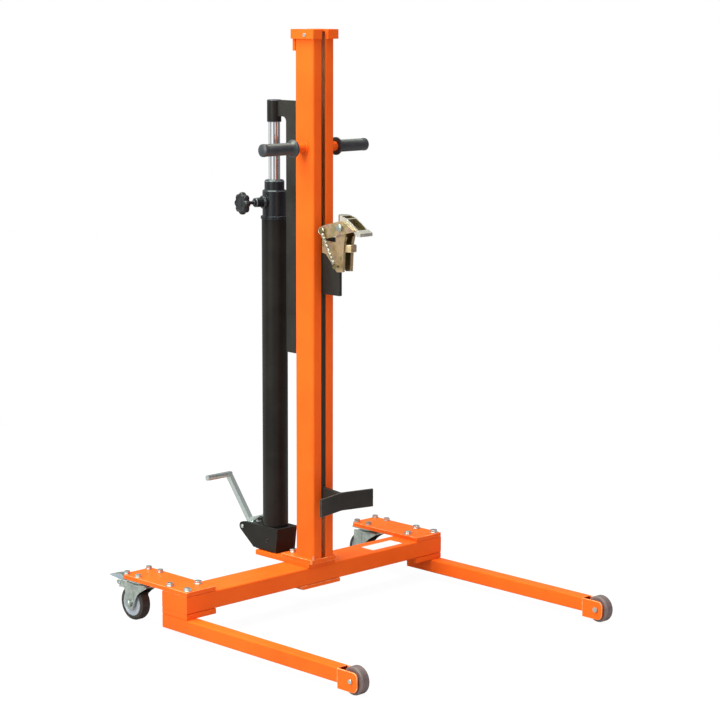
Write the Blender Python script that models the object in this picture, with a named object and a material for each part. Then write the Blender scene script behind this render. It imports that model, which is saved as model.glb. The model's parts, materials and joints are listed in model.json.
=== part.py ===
"""A hydraulic drum lifter: slotted mast on a straddling base, foot pump and ram, and a rim clamp on a carriage.

Metres, +Z up. The legs point along -Y, the pump and the swivel casters are at +Y, and left is -X.
Everything is placed from the mast's own axis, which stands MAST_Y behind the middle of the floor plan.
"""
import math

import bmesh
import bpy
from mathutils import Matrix, Vector

# Clearances
GAP = 0.0003
HOLE_CLEAR = 0.0008
RUN_CLEAR = 0.0010

# Mast: two channels face each other across the slots
MAST_WIDTH = 0.080
MAST_DEPTH = 0.074
MAST_WALL = 0.005
MAST_CORNER = 0.006
SLOT_WIDTH = 0.017
MAST_TOP = 1.6485
CAP_HEIGHT = 0.0265
CAP_OVERHANG = 0.0095
CAP_ROOF = 0.006
CAP_NOTCH_WIDTH = 0.0235
CAP_NOTCH_OFFSET = -0.0035
CAP_FRONT_NOTCH = 0.020
CAP_REAR_NOTCH = 0.026
CAP_REAR_NOTCH_WIDTH = 0.026
CAP_TAB_WIDTH = 0.026
CAP_TAB_DROP = 0.033
CAP_SCREW_RADIUS = 0.0055

# Base frame
WHEEL_RADIUS = 0.050
CASTER_HEIGHT = 0.1282
BEAM_LENGTH = 1.000
BEAM_DEPTH = 0.105
BEAM_HEIGHT = 0.050
BEAM_WALL = 0.004
BEAM_CORNER = 0.004
BEAM_FRONT = -0.0245
END_PLATE_WIDTH = 0.105
END_PLATE_LENGTH = 0.2825
PLATE_THICKNESS = 0.012
END_PLATE_CORNER = 0.014
JOINT_PLATE_THICKNESS = 0.015
LEG_SIZE = 0.040
LEG_WALL = 0.003
LEG_CORNER = 0.004
LEG_FRONT = -0.615
BASE_PLATE_WIDTH = 0.102
BASE_PLATE_FRONT = -0.0305
BASE_PLATE_REAR = 0.206
FOOT_PLATE_WIDTH = 0.100
FOOT_PLATE_FRONT = -0.0395
FOOT_PLATE_REAR = 0.088
UNDER_PLATE_WIDTH = 0.156
UNDER_PLATE_THICKNESS = 0.011

# Front rollers
ROLLER_RADIUS = 0.0375
ROLLER_WIDTH = 0.0285
ROLLER_REACH = 0.0495
ROLLER_AXLE_RADIUS = 0.0045
ROLLER_HEAD_RADIUS = 0.0068
FORK_PLATE_THICKNESS = 0.005
FORK_PLATE_NOSE = 0.0225
FORK_PLATE_LOW = 0.0085
FORK_PLATE_HIGH = 0.0620

# Swivel casters
CASTER_INSET = 0.050
CASTER_Y = 0.222
CASTER_TRAIL = 0.037
CASTER_PLATE_LONG = 0.100
CASTER_PLATE_SHORT = 0.080
CASTER_PLATE_THICKNESS = 0.0035
CASTER_BOLT_X = 0.078
CASTER_BOLT_Y = 0.050
WHEEL_WIDTH = 0.032
CORE_RADIUS = 0.037
FORK_INSIDE = 0.038
FORK_WALL = 0.003
CASTER_AXLE_RADIUS = 0.006
RACE_HEIGHT = 0.0045
BRAKE_PIN_Y = 0.081
BRAKE_PIN_Z = 0.1015
BRAKED_SIDE = "left"
CROWN_LOW = 0.1055
CROWN_TOP = 0.1095
BRAKE_PIN_RADIUS = 0.0035

# Fasteners
CASTER_BOLT_RADIUS = 0.005
BEAM_BOLT_RADIUS = 0.006
WASHER_THICKNESS = 0.0018
WASHER_RATIO = 2.1
BOLT_HEAD_RATIO = 3.2
BOLT_HEAD_HEIGHT = 0.0065

# Push handles
HANDLE_HEIGHT = 1.3225
STUB_RADIUS = 0.0135
STUB_LENGTH = 0.105
GRIP_INNER_END = 0.078
GRIP_OUTER_END = 0.199
GRIP_RADIUS = 0.0175
COLLAR_RADIUS = 0.0255
COLLAR_THICKNESS = 0.008

# Foot pump
PUMP_WIDTH = 0.077
PUMP_FRONT = 0.117
PUMP_FRONT_LOW = 0.126
PUMP_TOP = 0.2150
PUMP_LOW_REAR = 0.222
PUMP_BODY_REAR = 0.236
CHEEK_THICKNESS = 0.007
PEDAL_PIN_Y = 0.270
PEDAL_PIN_Z = 0.199
PEDAL_PIN_RADIUS = 0.006
PEDAL_BOSS_RADIUS = 0.0135
PEDAL_BAR = 0.015
PEDAL_BEND_Y = 0.374
PEDAL_BEND_Z = 0.333
PEDAL_TREAD_LENGTH = 0.092
PLUNGER_Y = 0.218
PLUNGER_RADIUS = 0.006
PLUNGER_RISE = 0.017
PLUNGER_DEPTH = 0.045
PLUNGER_BORE_EXTRA = 0.004

# Lift cylinder
CYLINDER_Y = 0.167
TUBE_RADIUS = 0.037
TUBE_WALL = 0.005
TUBE_TOP = 1.1110
RING_RADIUS = 0.0396
RING_HEIGHT = 0.008
HEAD_RADIUS = 0.0345
HEAD_HEIGHT = 0.083
GLAND_RADIUS = 0.0285
GLAND_HEIGHT = 0.029
ROD_RADIUS = 0.0165
PISTON_HEIGHT = 0.030
RAM_CAP_RADIUS = 0.0204
RAM_CAP_LIFT = 0.163
RAM_CAP_HEIGHT = 0.063
PISTON_FROM_GLAND = 0.030
ROD_ENTRY = 0.030

# Release valve on the side of the cylinder head
VALVE_TURN = math.radians(8)
VALVE_RISE = 0.0495
VALVE_BOSS_RADIUS = 0.019
VALVE_BOSS_REACH = 0.044
VALVE_FITTING_RADIUS = 0.0135
VALVE_FITTING_REACH = 0.070
VALVE_STEM_RADIUS = 0.005
KNOB_RADIUS = 0.032
KNOB_NEAR = 0.0955
KNOB_FAR = 0.1215
KNOB_LOBES = 8
KNOB_LOBE_DEPTH = 0.0035

# Carriage plate, in the slots of the mast
CARRIAGE_THICKNESS = 0.010
BACK_BAR_REAR = 0.1125
BACK_BAR_FRONT = 0.024
BACK_BAR_LOW = 0.733
ARM_DEPTH = 0.046
ARM_FILLET = 0.014
BRIDGE_TOP = 1.092
FRONT_BAR_FACE = -0.0375
FRONT_BAR_BACK = 0.002
FRONT_BAR_LOW = 0.3035
BRACKET_REACH = -0.1055
BRACKET_LOW = 0.9150
BRACKET_TOP = 1.0770
REST_CARRIER_TOP = 0.3605

# Guide rollers inside the channels
GUIDE_RADIUS = 0.0315
GUIDE_WIDTH = 0.018
GUIDE_INNER = 0.010
GUIDE_AXLE_RADIUS = 0.008
GUIDE_LOW_Z = 0.778
GUIDE_HIGH_Z = 1.052

# Drum rest
REST_BEND_Y = -0.1115
REST_HALF_WIDTH = 0.102
REST_SWEEP = 0.024
REST_THICKNESS = 0.006
REST_TOP = 0.3560

# Drum clamp
CLAMP_WIDTH = 0.040
CLAMP_WALL = 0.005
CLAMP_PIVOT_Y = -0.130
CLAMP_PIVOT_Z = 1.1095
CLAMP_PIVOT_RADIUS = 0.006
CLAMP_BOLT_Y = -0.086
CLAMP_BOLT_Z = 1.040
LEVER_THICKNESS = 0.005
LEVER_PIN_Y = -0.0605
LEVER_PIN_Z = 1.0965
LEVER_PIN_RADIUS = 0.0065
SPRING_STUD_Y = -0.116
SPRING_STUD_Z = 1.0015
SPRING_RADIUS = 0.0027
SPRING_WIRE = 0.0011
SPRING_TURNS = 10
STUD_RADIUS = 0.0045
EAR_RADIUS = 0.0125
CLAMP_LOW = 0.9860
CLAMP_WEB = 0.006
WEB_DROP = 0.0245
FRONT_HIGH_Y = -0.1440
FRONT_MIDDLE_Y = -0.1380
FRONT_LOW_Y = -0.1340
FLANGE_THICKNESS = 0.0035
HEEL_Y = -0.1110
WING_ROOT_Y = -0.0670
WING_END_Y = -0.0510
WING_SEAT_Y = -0.1060
WING_ROOT_LOW = 1.0315
WING_END_LOW = 1.0340
WING_END_TOP = 1.0690
WING_SEAT_TOP = 1.0665
NECK_TOP = 1.0810
JAW_LOW = 1.0415
JAW_TOP = 1.0625
JAW_FACE_Y = -0.1585
JAW_SIDE_Y = -0.1480
JAW_BACK_Y = -0.1395
JAW_NECK = 0.020
SPRING_X = 0.0300
BEAK_BAR_WIDTH = 0.047
BEAK_OPENING = 0.032
JAW_WIDTH = 0.032

# Worked out from the sizes above
BEAM_TOP = CASTER_HEIGHT + GAP
BEAM_LOW = BEAM_TOP - BEAM_HEIGHT
BEAM_REAR = BEAM_FRONT + BEAM_DEPTH
END_PLATE_LOW = BEAM_TOP + GAP
END_PLATE_TOP = END_PLATE_LOW + PLATE_THICKNESS
END_PLATE_REAR = BEAM_FRONT + END_PLATE_LENGTH
END_PLATE_MID_X = (BEAM_LENGTH - END_PLATE_WIDTH) / 2
JOINT_TOP = BEAM_LOW - GAP
JOINT_LOW = JOINT_TOP - JOINT_PLATE_THICKNESS
LEG_TOP = JOINT_LOW - GAP
LEG_LOW = LEG_TOP - LEG_SIZE
ROLLER_AXLE_Y = LEG_FRONT - ROLLER_REACH
FORK_PLATE_REAR = LEG_FRONT - GAP
FORK_PLATE_FRONT = ROLLER_AXLE_Y - FORK_PLATE_NOSE
LEG_X = (BEAM_LENGTH - LEG_SIZE) / 2
CASTER_X = BEAM_LENGTH / 2 - CASTER_INSET
BASE_PLATE_LOW = BEAM_TOP + GAP
BASE_PLATE_TOP = BASE_PLATE_LOW + PLATE_THICKNESS
FOOT_PLATE_LOW = BASE_PLATE_TOP + GAP
FOOT_PLATE_TOP = FOOT_PLATE_LOW + PLATE_THICKNESS
CHANNEL_LOW = FOOT_PLATE_TOP + GAP
CHANNEL_TOP = MAST_TOP - CAP_ROOF - GAP
CAP_LOW = MAST_TOP - CAP_HEIGHT
PUMP_LOW = BASE_PLATE_TOP + GAP
TUBE_LOW = PUMP_TOP + GAP
TUBE_BORE = TUBE_RADIUS - TUBE_WALL
HEAD_LOW = TUBE_TOP + GAP
HEAD_TOP = TUBE_TOP + HEAD_HEIGHT
GLAND_TOP = HEAD_TOP + GLAND_HEIGHT
VALVE_Z = TUBE_TOP + VALVE_RISE
RAM_CAP_LOW = GLAND_TOP + RAM_CAP_LIFT
RAM_CAP_TOP = RAM_CAP_LOW + RAM_CAP_HEIGHT
ARM_LOW = RAM_CAP_TOP - ARM_DEPTH
PEDAL_REACH = PEDAL_BEND_Y + PEDAL_BAR / 2
RACE_LOW = CASTER_HEIGHT - CASTER_PLATE_THICKNESS - RACE_HEIGHT
WEB_TOP = CLAMP_PIVOT_Z - WEB_DROP
MAST_Y = (ROLLER_RADIUS - ROLLER_AXLE_Y - PEDAL_REACH) / 2
SIDES = (("left", -1), ("right", 1))


def clear_scene():
    for item in list(bpy.data.objects):
        bpy.data.objects.remove(item, do_unlink=True)


def make_material(name, colour, roughness, metallic):
    material = bpy.data.materials.new(name)
    material.use_nodes = True
    shader = material.node_tree.nodes["Principled BSDF"]
    shader.inputs["Base Color"].default_value = (*colour, 1)
    shader.inputs["Roughness"].default_value = roughness
    shader.inputs["Metallic"].default_value = metallic
    material.diffuse_color = (*colour, 1)
    return material


def make_materials():
    return {
        "orange": make_material("orange_paint", (0.90, 0.20, 0.025), 0.40, 0.0),
        "black": make_material("black_paint", (0.030, 0.029, 0.027), 0.38, 0.0),
        "zinc": make_material("zinc_plate", (0.55, 0.56, 0.54), 0.35, 0.9),
        "yellow_zinc": make_material("yellow_zinc", (0.56, 0.45, 0.27), 0.35, 0.8),
        "bright_zinc": make_material("bright_zinc", (0.78, 0.75, 0.62), 0.30, 0.8),
        "chrome": make_material("chrome", (0.80, 0.81, 0.82), 0.10, 1.0),
        "grip_rubber": make_material("grip_rubber", (0.040, 0.042, 0.045), 0.55, 0.0),
        "tyre_rubber": make_material("tyre_rubber", (0.050, 0.040, 0.035), 0.60, 0.0),
        "core_plastic": make_material("core_plastic", (0.40, 0.41, 0.44), 0.45, 0.0),
        "roller_nylon": make_material("roller_nylon", (0.16, 0.14, 0.14), 0.50, 0.0),
        "seal_rubber": make_material("seal_rubber", (0.02, 0.02, 0.02), 0.60, 0.0),
    }


def along(axis, u, v, w):
    """The point whose plane coordinates are u and v, at w along the named axis."""
    if axis == "X":
        return Vector((w, u, v))
    if axis == "Y":
        return Vector((u, w, v))
    return Vector((u, v, w))


def arc(centre, radius, start, end, steps):
    """Points on an arc, with its angles in degrees and both ends included."""
    points = []
    for step in range(steps + 1):
        angle = math.radians(start + (end - start) * step / steps)
        points.append((centre[0] + radius * math.cos(angle), centre[1] + radius * math.sin(angle)))
    return points


def rounded_rectangle(low, high, radii, steps=3):
    """Counter-clockwise outline with a radius for each corner, from the lower left one round."""
    (u0, v0), (u1, v1) = low, high
    corners = ((u0, v0, 1, 1, 180), (u1, v0, -1, 1, 270), (u1, v1, -1, -1, 0), (u0, v1, 1, -1, 90))
    points = []
    for (u, v, du, dv, start), radius in zip(corners, radii):
        if radius > 0:
            points += arc((u + du * radius, v + dv * radius), radius, start, start + 90, steps)
        else:
            points.append((u, v))
    return points


def prism(outline, axis, low, high):
    """A closed solid: the outline filled, then extruded from low to high along the axis."""
    bm = bmesh.new()
    verts = [bm.verts.new(along(axis, u, v, low)) for u, v in outline]
    face = bm.faces.new(verts)
    grown = bmesh.ops.extrude_face_region(bm, geom=[face])
    moved = [item for item in grown["geom"] if isinstance(item, bmesh.types.BMVert)]
    bmesh.ops.translate(bm, verts=moved, vec=along(axis, 0, 0, high - low))
    bmesh.ops.recalc_face_normals(bm, faces=bm.faces)
    return bm


def block(low, high):
    """A plain box between two corners."""
    outline = [(low[0], low[1]), (high[0], low[1]), (high[0], high[1]), (low[0], high[1])]
    return prism(outline, "Z", low[2], high[2])


def turned(profile, axis, steps, ring=False):
    """A turned solid from (radius, height) points: an open line from pole to pole, or a closed ring."""
    bm = bmesh.new()
    verts = [bm.verts.new(along(axis, radius, 0, height)) for radius, height in profile]
    pairs = list(zip(verts, verts[1:]))
    if ring:
        pairs.append((verts[-1], verts[0]))
    edges = [bm.edges.new(pair) for pair in pairs]
    bmesh.ops.spin(bm, geom=verts + edges, cent=(0, 0, 0), axis=along(axis, 0, 0, 1),
                   angle=math.tau, steps=steps, use_merge=True)
    bmesh.ops.remove_doubles(bm, verts=bm.verts, dist=1e-6)
    bmesh.ops.recalc_face_normals(bm, faces=bm.faces)
    return bm


def rod(radius, axis, low, high, steps=20, centre=(0, 0)):
    """A round bar along the axis, about a centre given in the plane across it."""
    bm = turned([(0, low), (radius, low), (radius, high), (0, high)], axis, steps)
    bmesh.ops.translate(bm, verts=bm.verts, vec=along(axis, centre[0], centre[1], 0))
    return bm


def turned_at(profile, axis, steps, centre):
    """A turned solid about a centre given in the plane across the axis."""
    bm = turned(profile, axis, steps)
    bmesh.ops.translate(bm, verts=bm.verts, vec=along(axis, centre[0], centre[1], 0))
    return bm


def stacked(rings):
    """A closed solid from rings of points with the same count, one above the other."""
    bm = bmesh.new()
    rows = [[bm.verts.new(point) for point in ring] for ring in rings]
    for below, above in zip(rows, rows[1:]):
        for place, vert in enumerate(below):
            after = (place + 1) % len(below)
            bm.faces.new((vert, below[after], above[after], above[place]))
    bm.faces.new(rows[0])
    bm.faces.new(rows[-1])
    bmesh.ops.recalc_face_normals(bm, faces=bm.faces)
    return bm


def swept(points, radius, sides):
    """A round wire along a line of points."""
    rings = []
    side = Vector((0, 0, 1))
    for place, point in enumerate(points):
        before = points[max(place - 1, 0)]
        after = points[min(place + 1, len(points) - 1)]
        direction = (after - before).normalized()
        side = (side - direction * side.dot(direction)).normalized()
        other = direction.cross(side)
        ring = []
        for step in range(sides):
            angle = math.tau * step / sides
            ring.append(point + (side * math.cos(angle) + other * math.sin(angle)) * radius)
        rings.append(ring)
    return stacked(rings)


def add_object(name, bm, material, parent, location=(0, 0, 0)):
    mesh = bpy.data.meshes.new(name)
    bm.to_mesh(mesh)
    bm.free()
    mesh.materials.append(material)
    mesh.shade_smooth()
    mesh.set_sharp_from_angle(angle=math.radians(35))
    item = bpy.data.objects.new(name, mesh)
    bpy.context.scene.collection.objects.link(item)
    item.parent = parent
    item.location = location
    return item


def add_empty(name, location, parent=None):
    empty = bpy.data.objects.new(name, None)
    empty.empty_display_size = 0.05
    bpy.context.scene.collection.objects.link(empty)
    empty.parent = parent
    empty.location = location
    return empty


def combine(item, bm, operation):
    """Join or cut a piece with another shape that is given in the piece's own coordinates."""
    tool = add_object(item.name + "_" + operation.lower(), bm, item.data.materials[0], item.parent, item.location)
    tool.hide_render = True
    tool.hide_set(True)
    tool.display_type = "WIRE"
    modifier = item.modifiers.new(operation.title(), "BOOLEAN")
    modifier.operation = operation
    modifier.solver = "EXACT"
    modifier.object = tool


def fuse(item, *shapes):
    for bm in shapes:
        combine(item, bm, "UNION")


def cut(item, *shapes):
    for bm in shapes:
        combine(item, bm, "DIFFERENCE")


def soften(item, width, segments=2):
    """Round the sharp edges a little."""
    modifier = item.modifiers.new("Bevel", "BEVEL")
    modifier.width = width
    modifier.segments = segments
    modifier.limit_method = "ANGLE"
    modifier.angle_limit = math.radians(50)


def sided(low_x, high_x, side):
    """Two distances from the middle as an ordered span on the left or the right."""
    return tuple(sorted((low_x * side, high_x * side)))


def bolt(centre, radius, low, seat):
    """A hex bolt in one shape: shank from low up, then its washer and its head on the seat."""
    apothem = radius * BOLT_HEAD_RATIO / 2

    def ring(size, height, hexed):
        points = []
        for step in range(12):
            angle = math.radians(30 * step)
            reach = size / math.cos(math.radians(30)) if hexed and step % 2 == 0 else size
            points.append(Vector((centre[0] + reach * math.cos(angle), centre[1] + reach * math.sin(angle), height)))
        return points

    washer = seat + WASHER_THICKNESS
    return stacked([ring(radius, low, False), ring(radius, seat, False), ring(radius * WASHER_RATIO, seat, False),
                    ring(radius * WASHER_RATIO, washer, False), ring(apothem, washer, True),
                    ring(apothem, washer + BOLT_HEAD_HEIGHT, True)])


def build_channels(stand, paint):
    """Each channel is an open C, with the stub of its push handle welded to the web."""
    half_width, half_depth, wall = MAST_WIDTH / 2, MAST_DEPTH / 2, MAST_WALL
    lip = SLOT_WIDTH / 2
    for name, side in SIDES:
        outline = [(-lip, -half_depth)]
        outline += arc((-half_width + MAST_CORNER, -half_depth + MAST_CORNER), MAST_CORNER, 270, 180, 3)
        outline += arc((-half_width + MAST_CORNER, half_depth - MAST_CORNER), MAST_CORNER, 180, 90, 3)
        outline += [(-lip, half_depth), (-lip, half_depth - wall), (-half_width + wall, half_depth - wall),
                    (-half_width + wall, -half_depth + wall), (-lip, -half_depth + wall)]
        outline = [(-side * x, y) for x, y in outline]
        channel = add_object("mast_channel_" + name, prism(outline, "Z", CHANNEL_LOW, CHANNEL_TOP), paint, stand)
        low, high = sided(half_width - wall / 2, GRIP_INNER_END + STUB_LENGTH / 2, side)
        fuse(channel, rod(STUB_RADIUS, "X", low, high, 16, (0, HANDLE_HEIGHT)))


def build_cap(stand, paint):
    """The cap is a lid over the channels, notched so that the carriage plate can rise past it."""
    half_width = MAST_WIDTH / 2 + CAP_OVERHANG
    half_depth = MAST_DEPTH / 2 + CAP_OVERHANG
    outline = rounded_rectangle((-half_width, -half_depth), (half_width, half_depth), (0.004,) * 4, 2)
    cap = add_object("mast_cap", prism(outline, "Z", CAP_LOW, MAST_TOP), paint, stand)
    inner_x, inner_y = MAST_WIDTH / 2 + GAP, MAST_DEPTH / 2 + GAP
    recess = rounded_rectangle((-inner_x, -inner_y), (inner_x, inner_y), (MAST_CORNER - GAP,) * 4)
    cut(cap, prism(recess, "Z", CAP_LOW - GAP, MAST_TOP - CAP_ROOF))
    notch = CAP_NOTCH_WIDTH / 2
    cut(cap, block((CAP_NOTCH_OFFSET - notch, -half_depth - GAP, CAP_LOW - GAP),
                   (CAP_NOTCH_OFFSET + notch, -half_depth + CAP_FRONT_NOTCH, MAST_TOP + GAP)))
    notch = CAP_REAR_NOTCH_WIDTH / 2
    cut(cap, block((-notch, half_depth - CAP_REAR_NOTCH, CAP_LOW - GAP), (notch, half_depth + GAP, MAST_TOP + GAP)))
    for _, side in SIDES:
        low, high = sided(notch + RUN_CLEAR, notch + RUN_CLEAR + CAP_TAB_WIDTH, side)
        tab_face = MAST_DEPTH / 2 + GAP
        fuse(cap, block((low, tab_face, CAP_LOW - CAP_TAB_DROP),
                        (high, half_depth, CAP_LOW + GAP)))
        low, high = sided(half_width - GAP, half_width + 0.0025, side)
        fuse(cap, rod(CAP_SCREW_RADIUS, "X", low, high, 12, (-0.0125, CAP_LOW + CAP_HEIGHT * 0.42)))


def build_foot(stand, paint):
    """The mast's foot plate sits on the longer base plate, held by two bolts that rise from it."""
    half = BASE_PLATE_WIDTH / 2
    outline = rounded_rectangle((-half, BASE_PLATE_FRONT), (half, BASE_PLATE_REAR), (0, 0, 0.012, 0.012))
    base = add_object("base_plate", prism(outline, "Z", BASE_PLATE_LOW, BASE_PLATE_TOP), paint, stand)
    half = FOOT_PLATE_WIDTH / 2
    outline = rounded_rectangle((-half, FOOT_PLATE_FRONT), (half, FOOT_PLATE_REAR), (0.002,) * 4, 1)
    foot = add_object("mast_foot_plate", prism(outline, "Z", FOOT_PLATE_LOW, FOOT_PLATE_TOP), paint, stand)
    for _, side in SIDES:
        centre = (side * 0.018, 0.0735)
        cut(foot, rod(CASTER_BOLT_RADIUS + HOLE_CLEAR, "Z", FOOT_PLATE_LOW - GAP, FOOT_PLATE_TOP + GAP, 8, centre))
        fuse(base, bolt(centre, CASTER_BOLT_RADIUS, BASE_PLATE_TOP - GAP, FOOT_PLATE_TOP + GAP))


def beam_bolt_places(side):
    """Two bolts near the beam's end and one further in, on each end plate."""
    outer = BEAM_LENGTH / 2 - 0.016
    inner = BEAM_LENGTH / 2 - END_PLATE_WIDTH + 0.018
    middle = (BEAM_FRONT + BEAM_REAR) / 2
    return ((side * outer, middle - 0.037), (side * outer, middle + 0.037), (side * inner, middle + 0.002))


def caster_bolt_places(side):
    places = []
    for dx in (-CASTER_BOLT_X / 2, CASTER_BOLT_X / 2):
        for dy in (-CASTER_BOLT_Y / 2, CASTER_BOLT_Y / 2):
            places.append((side * CASTER_X + dx, CASTER_Y + dy))
    return places


def build_beam(stand, paint):
    """A rectangular tube with welded ends. The bolts pass down through both of its walls."""
    half = BEAM_LENGTH / 2
    outline = rounded_rectangle((BEAM_FRONT, BEAM_LOW), (BEAM_REAR, BEAM_TOP), (BEAM_CORNER,) * 4)
    beam = add_object("cross_beam", prism(outline, "X", -half, half), paint, stand)
    inner = BEAM_WALL
    cut(beam, block((-half + inner, BEAM_FRONT + inner, BEAM_LOW + inner),
                    (half - inner, BEAM_REAR - inner, BEAM_TOP - inner)))
    for _, side in SIDES:
        for centre in beam_bolt_places(side):
            cut(beam, rod(BEAM_BOLT_RADIUS + HOLE_CLEAR, "Z", BEAM_LOW - GAP, BEAM_TOP + GAP, 8, centre))
    half = UNDER_PLATE_WIDTH / 2
    top = BEAM_LOW - GAP
    low = top - UNDER_PLATE_THICKNESS
    outline = [(-half, top), (-half + 0.010, low), (half, low), (half, top)]
    add_object("under_plate", prism(outline, "Y", BEAM_FRONT, BEAM_REAR), paint, stand)


def build_end_plates(stand, paint):
    """The end plates lie on the beam and reach back over the casters."""
    for name, side in SIDES:
        low, high = sided(BEAM_LENGTH / 2 - END_PLATE_WIDTH, BEAM_LENGTH / 2, side)
        radius = END_PLATE_CORNER
        outline = rounded_rectangle((low, BEAM_FRONT), (high, END_PLATE_REAR), (0.002, 0.002, radius, radius))
        plate = add_object("end_plate_" + name, prism(outline, "Z", END_PLATE_LOW, END_PLATE_TOP), paint, stand)
        for centre in beam_bolt_places(side):
            cut(plate, rod(BEAM_BOLT_RADIUS + HOLE_CLEAR, "Z", END_PLATE_LOW - GAP, END_PLATE_TOP + GAP, 8, centre))
        for centre in caster_bolt_places(side):
            cut(plate, rod(CASTER_BOLT_RADIUS + HOLE_CLEAR, "Z", END_PLATE_LOW - GAP, END_PLATE_TOP + GAP, 8, centre))
        joint = add_object("joint_plate_" + name, block((low, BEAM_FRONT, JOINT_LOW), (high, BEAM_REAR, JOINT_TOP)),
                           paint, stand)
        for centre in beam_bolt_places(side):
            fuse(joint, bolt(centre, BEAM_BOLT_RADIUS, JOINT_TOP - GAP, END_PLATE_TOP + GAP))


def build_legs(stand, paint):
    """Square tubes, closed at the beam and open into the fork that holds the roller."""
    for name, side in SIDES:
        low, high = sided(BEAM_LENGTH / 2 - LEG_SIZE, BEAM_LENGTH / 2, side)
        outline = rounded_rectangle((low, LEG_LOW), (high, LEG_TOP), (LEG_CORNER,) * 4)
        leg = add_object("leg_" + name, prism(outline, "Y", LEG_FRONT, BEAM_REAR), paint, stand)
        wall = LEG_WALL
        cut(leg, block((low + wall, LEG_FRONT - GAP, LEG_LOW + wall), (high - wall, BEAM_REAR - wall, LEG_TOP - wall)))


def fork_plate_outline():
    """Deeper than the leg, with large front corners."""
    return rounded_rectangle((FORK_PLATE_FRONT, FORK_PLATE_LOW), (FORK_PLATE_REAR, FORK_PLATE_HIGH),
                             (0.018, 0.002, 0.002, 0.015), 4)


def build_rollers(stand, materials):
    """Fork plates, an axle bolt through them, and the load roller between them."""
    height = ROLLER_RADIUS
    for name, side in SIDES:
        outer, inner = BEAM_LENGTH / 2, BEAM_LENGTH / 2 - LEG_SIZE
        for place, a, b in (("outer", outer - FORK_PLATE_THICKNESS, outer), ("inner", inner, inner + FORK_PLATE_THICKNESS)):
            low, high = sided(a, b, side)
            plate = add_object(f"fork_plate_{name}_{place}", prism(fork_plate_outline(), "X", low, high),
                               materials["orange"], stand)
            cut(plate, rod(ROLLER_AXLE_RADIUS + HOLE_CLEAR, "X", low - GAP, high + GAP, 10, (ROLLER_AXLE_Y, height)))
        hub = add_empty("front_roller_axis_" + name, (side * LEG_X, ROLLER_AXLE_Y, height), stand)
        half = ROLLER_WIDTH / 2
        bore = ROLLER_AXLE_RADIUS + HOLE_CLEAR
        radius = ROLLER_RADIUS
        profile = [(bore, -half), (0.012, -half), (0.015, -half + 0.003), (radius - 0.004, -half + 0.001),
                   (radius, -half + 0.004), (radius, half - 0.004), (radius - 0.004, half - 0.001),
                   (0.015, half - 0.003), (0.012, half), (bore, half)]
        add_object("front_roller_" + name, turned(profile, "X", 24, ring=True), materials["roller_nylon"], hub)
        reach = LEG_SIZE / 2 + GAP
        head = ROLLER_HEAD_RADIUS
        profile = [(0, -reach - 0.0045), (head - 0.0015, -reach - 0.0045), (head, -reach - 0.003), (head, -reach),
                   (ROLLER_AXLE_RADIUS, -reach), (ROLLER_AXLE_RADIUS, reach), (head + 0.001, reach),
                   (head + 0.001, reach + 0.0045), (0, reach + 0.0045)]
        profile = [(r, -side * x) for r, x in profile]
        add_object("front_axle_" + name, turned(profile, "X", 12), materials["zinc"], stand,
                   (side * LEG_X, ROLLER_AXLE_Y, height))


def caster_leg_outline(braked):
    """Side of a caster fork: wide under the swivel, a boss at the axle, and an ear behind where there is a brake."""
    trail, axle = CASTER_TRAIL, WHEEL_RADIUS
    outline = [(-0.036, CROWN_TOP), (-0.036, CROWN_LOW - 0.001)]
    outline += [(-0.024, 0.0985), (-0.008, 0.0885), (0.0035, 0.0790), (0.0115, 0.0680), (0.0165, 0.0570)]
    outline += arc((trail, axle), 0.018, 178, 358, 7)
    outline += [(trail + 0.0195, 0.070), (trail + 0.0205, 0.0850)]
    if braked:
        outline += [(0.0635, 0.0905), (0.0895, 0.0965), (0.0945, 0.1010), (0.0945, 0.1060), (0.0900, 0.1085)]
    else:
        outline += [(trail + 0.0205, 0.1050), (trail + 0.0180, CROWN_TOP)]
    return outline + [(0.048, CROWN_TOP)]


def build_caster_plate(name, side, stand, materials):
    """Top plate, four bolts up through the end plate, ball race and king pin with its nut."""
    top = CASTER_HEIGHT
    low = top - CASTER_PLATE_THICKNESS
    half_x, half_y = CASTER_PLATE_LONG / 2, CASTER_PLATE_SHORT / 2
    outline = rounded_rectangle((-half_x, -half_y), (half_x, half_y), (0.008,) * 4)
    place = (side * CASTER_X, CASTER_Y, 0)
    plate = add_object("caster_plate_" + name, prism(outline, "Z", low, top), materials["zinc"], stand, place)
    nut_top = CROWN_LOW - 0.0005
    nut_low = nut_top - 0.0065
    race = turned([(0, low + GAP), (0.030, low + GAP), (0.030, RACE_LOW), (0.007, RACE_LOW), (0.006, CROWN_TOP),
                   (0.006, nut_top), (0.0095, nut_top), (0.0095, nut_low), (0, nut_low)], "Z", 16)
    fuse(plate, race)
    for x, y in caster_bolt_places(side):
        centre = (x - side * CASTER_X, y - CASTER_Y)
        fuse(plate, bolt(centre, CASTER_BOLT_RADIUS, low + GAP, END_PLATE_TOP + GAP))


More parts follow.
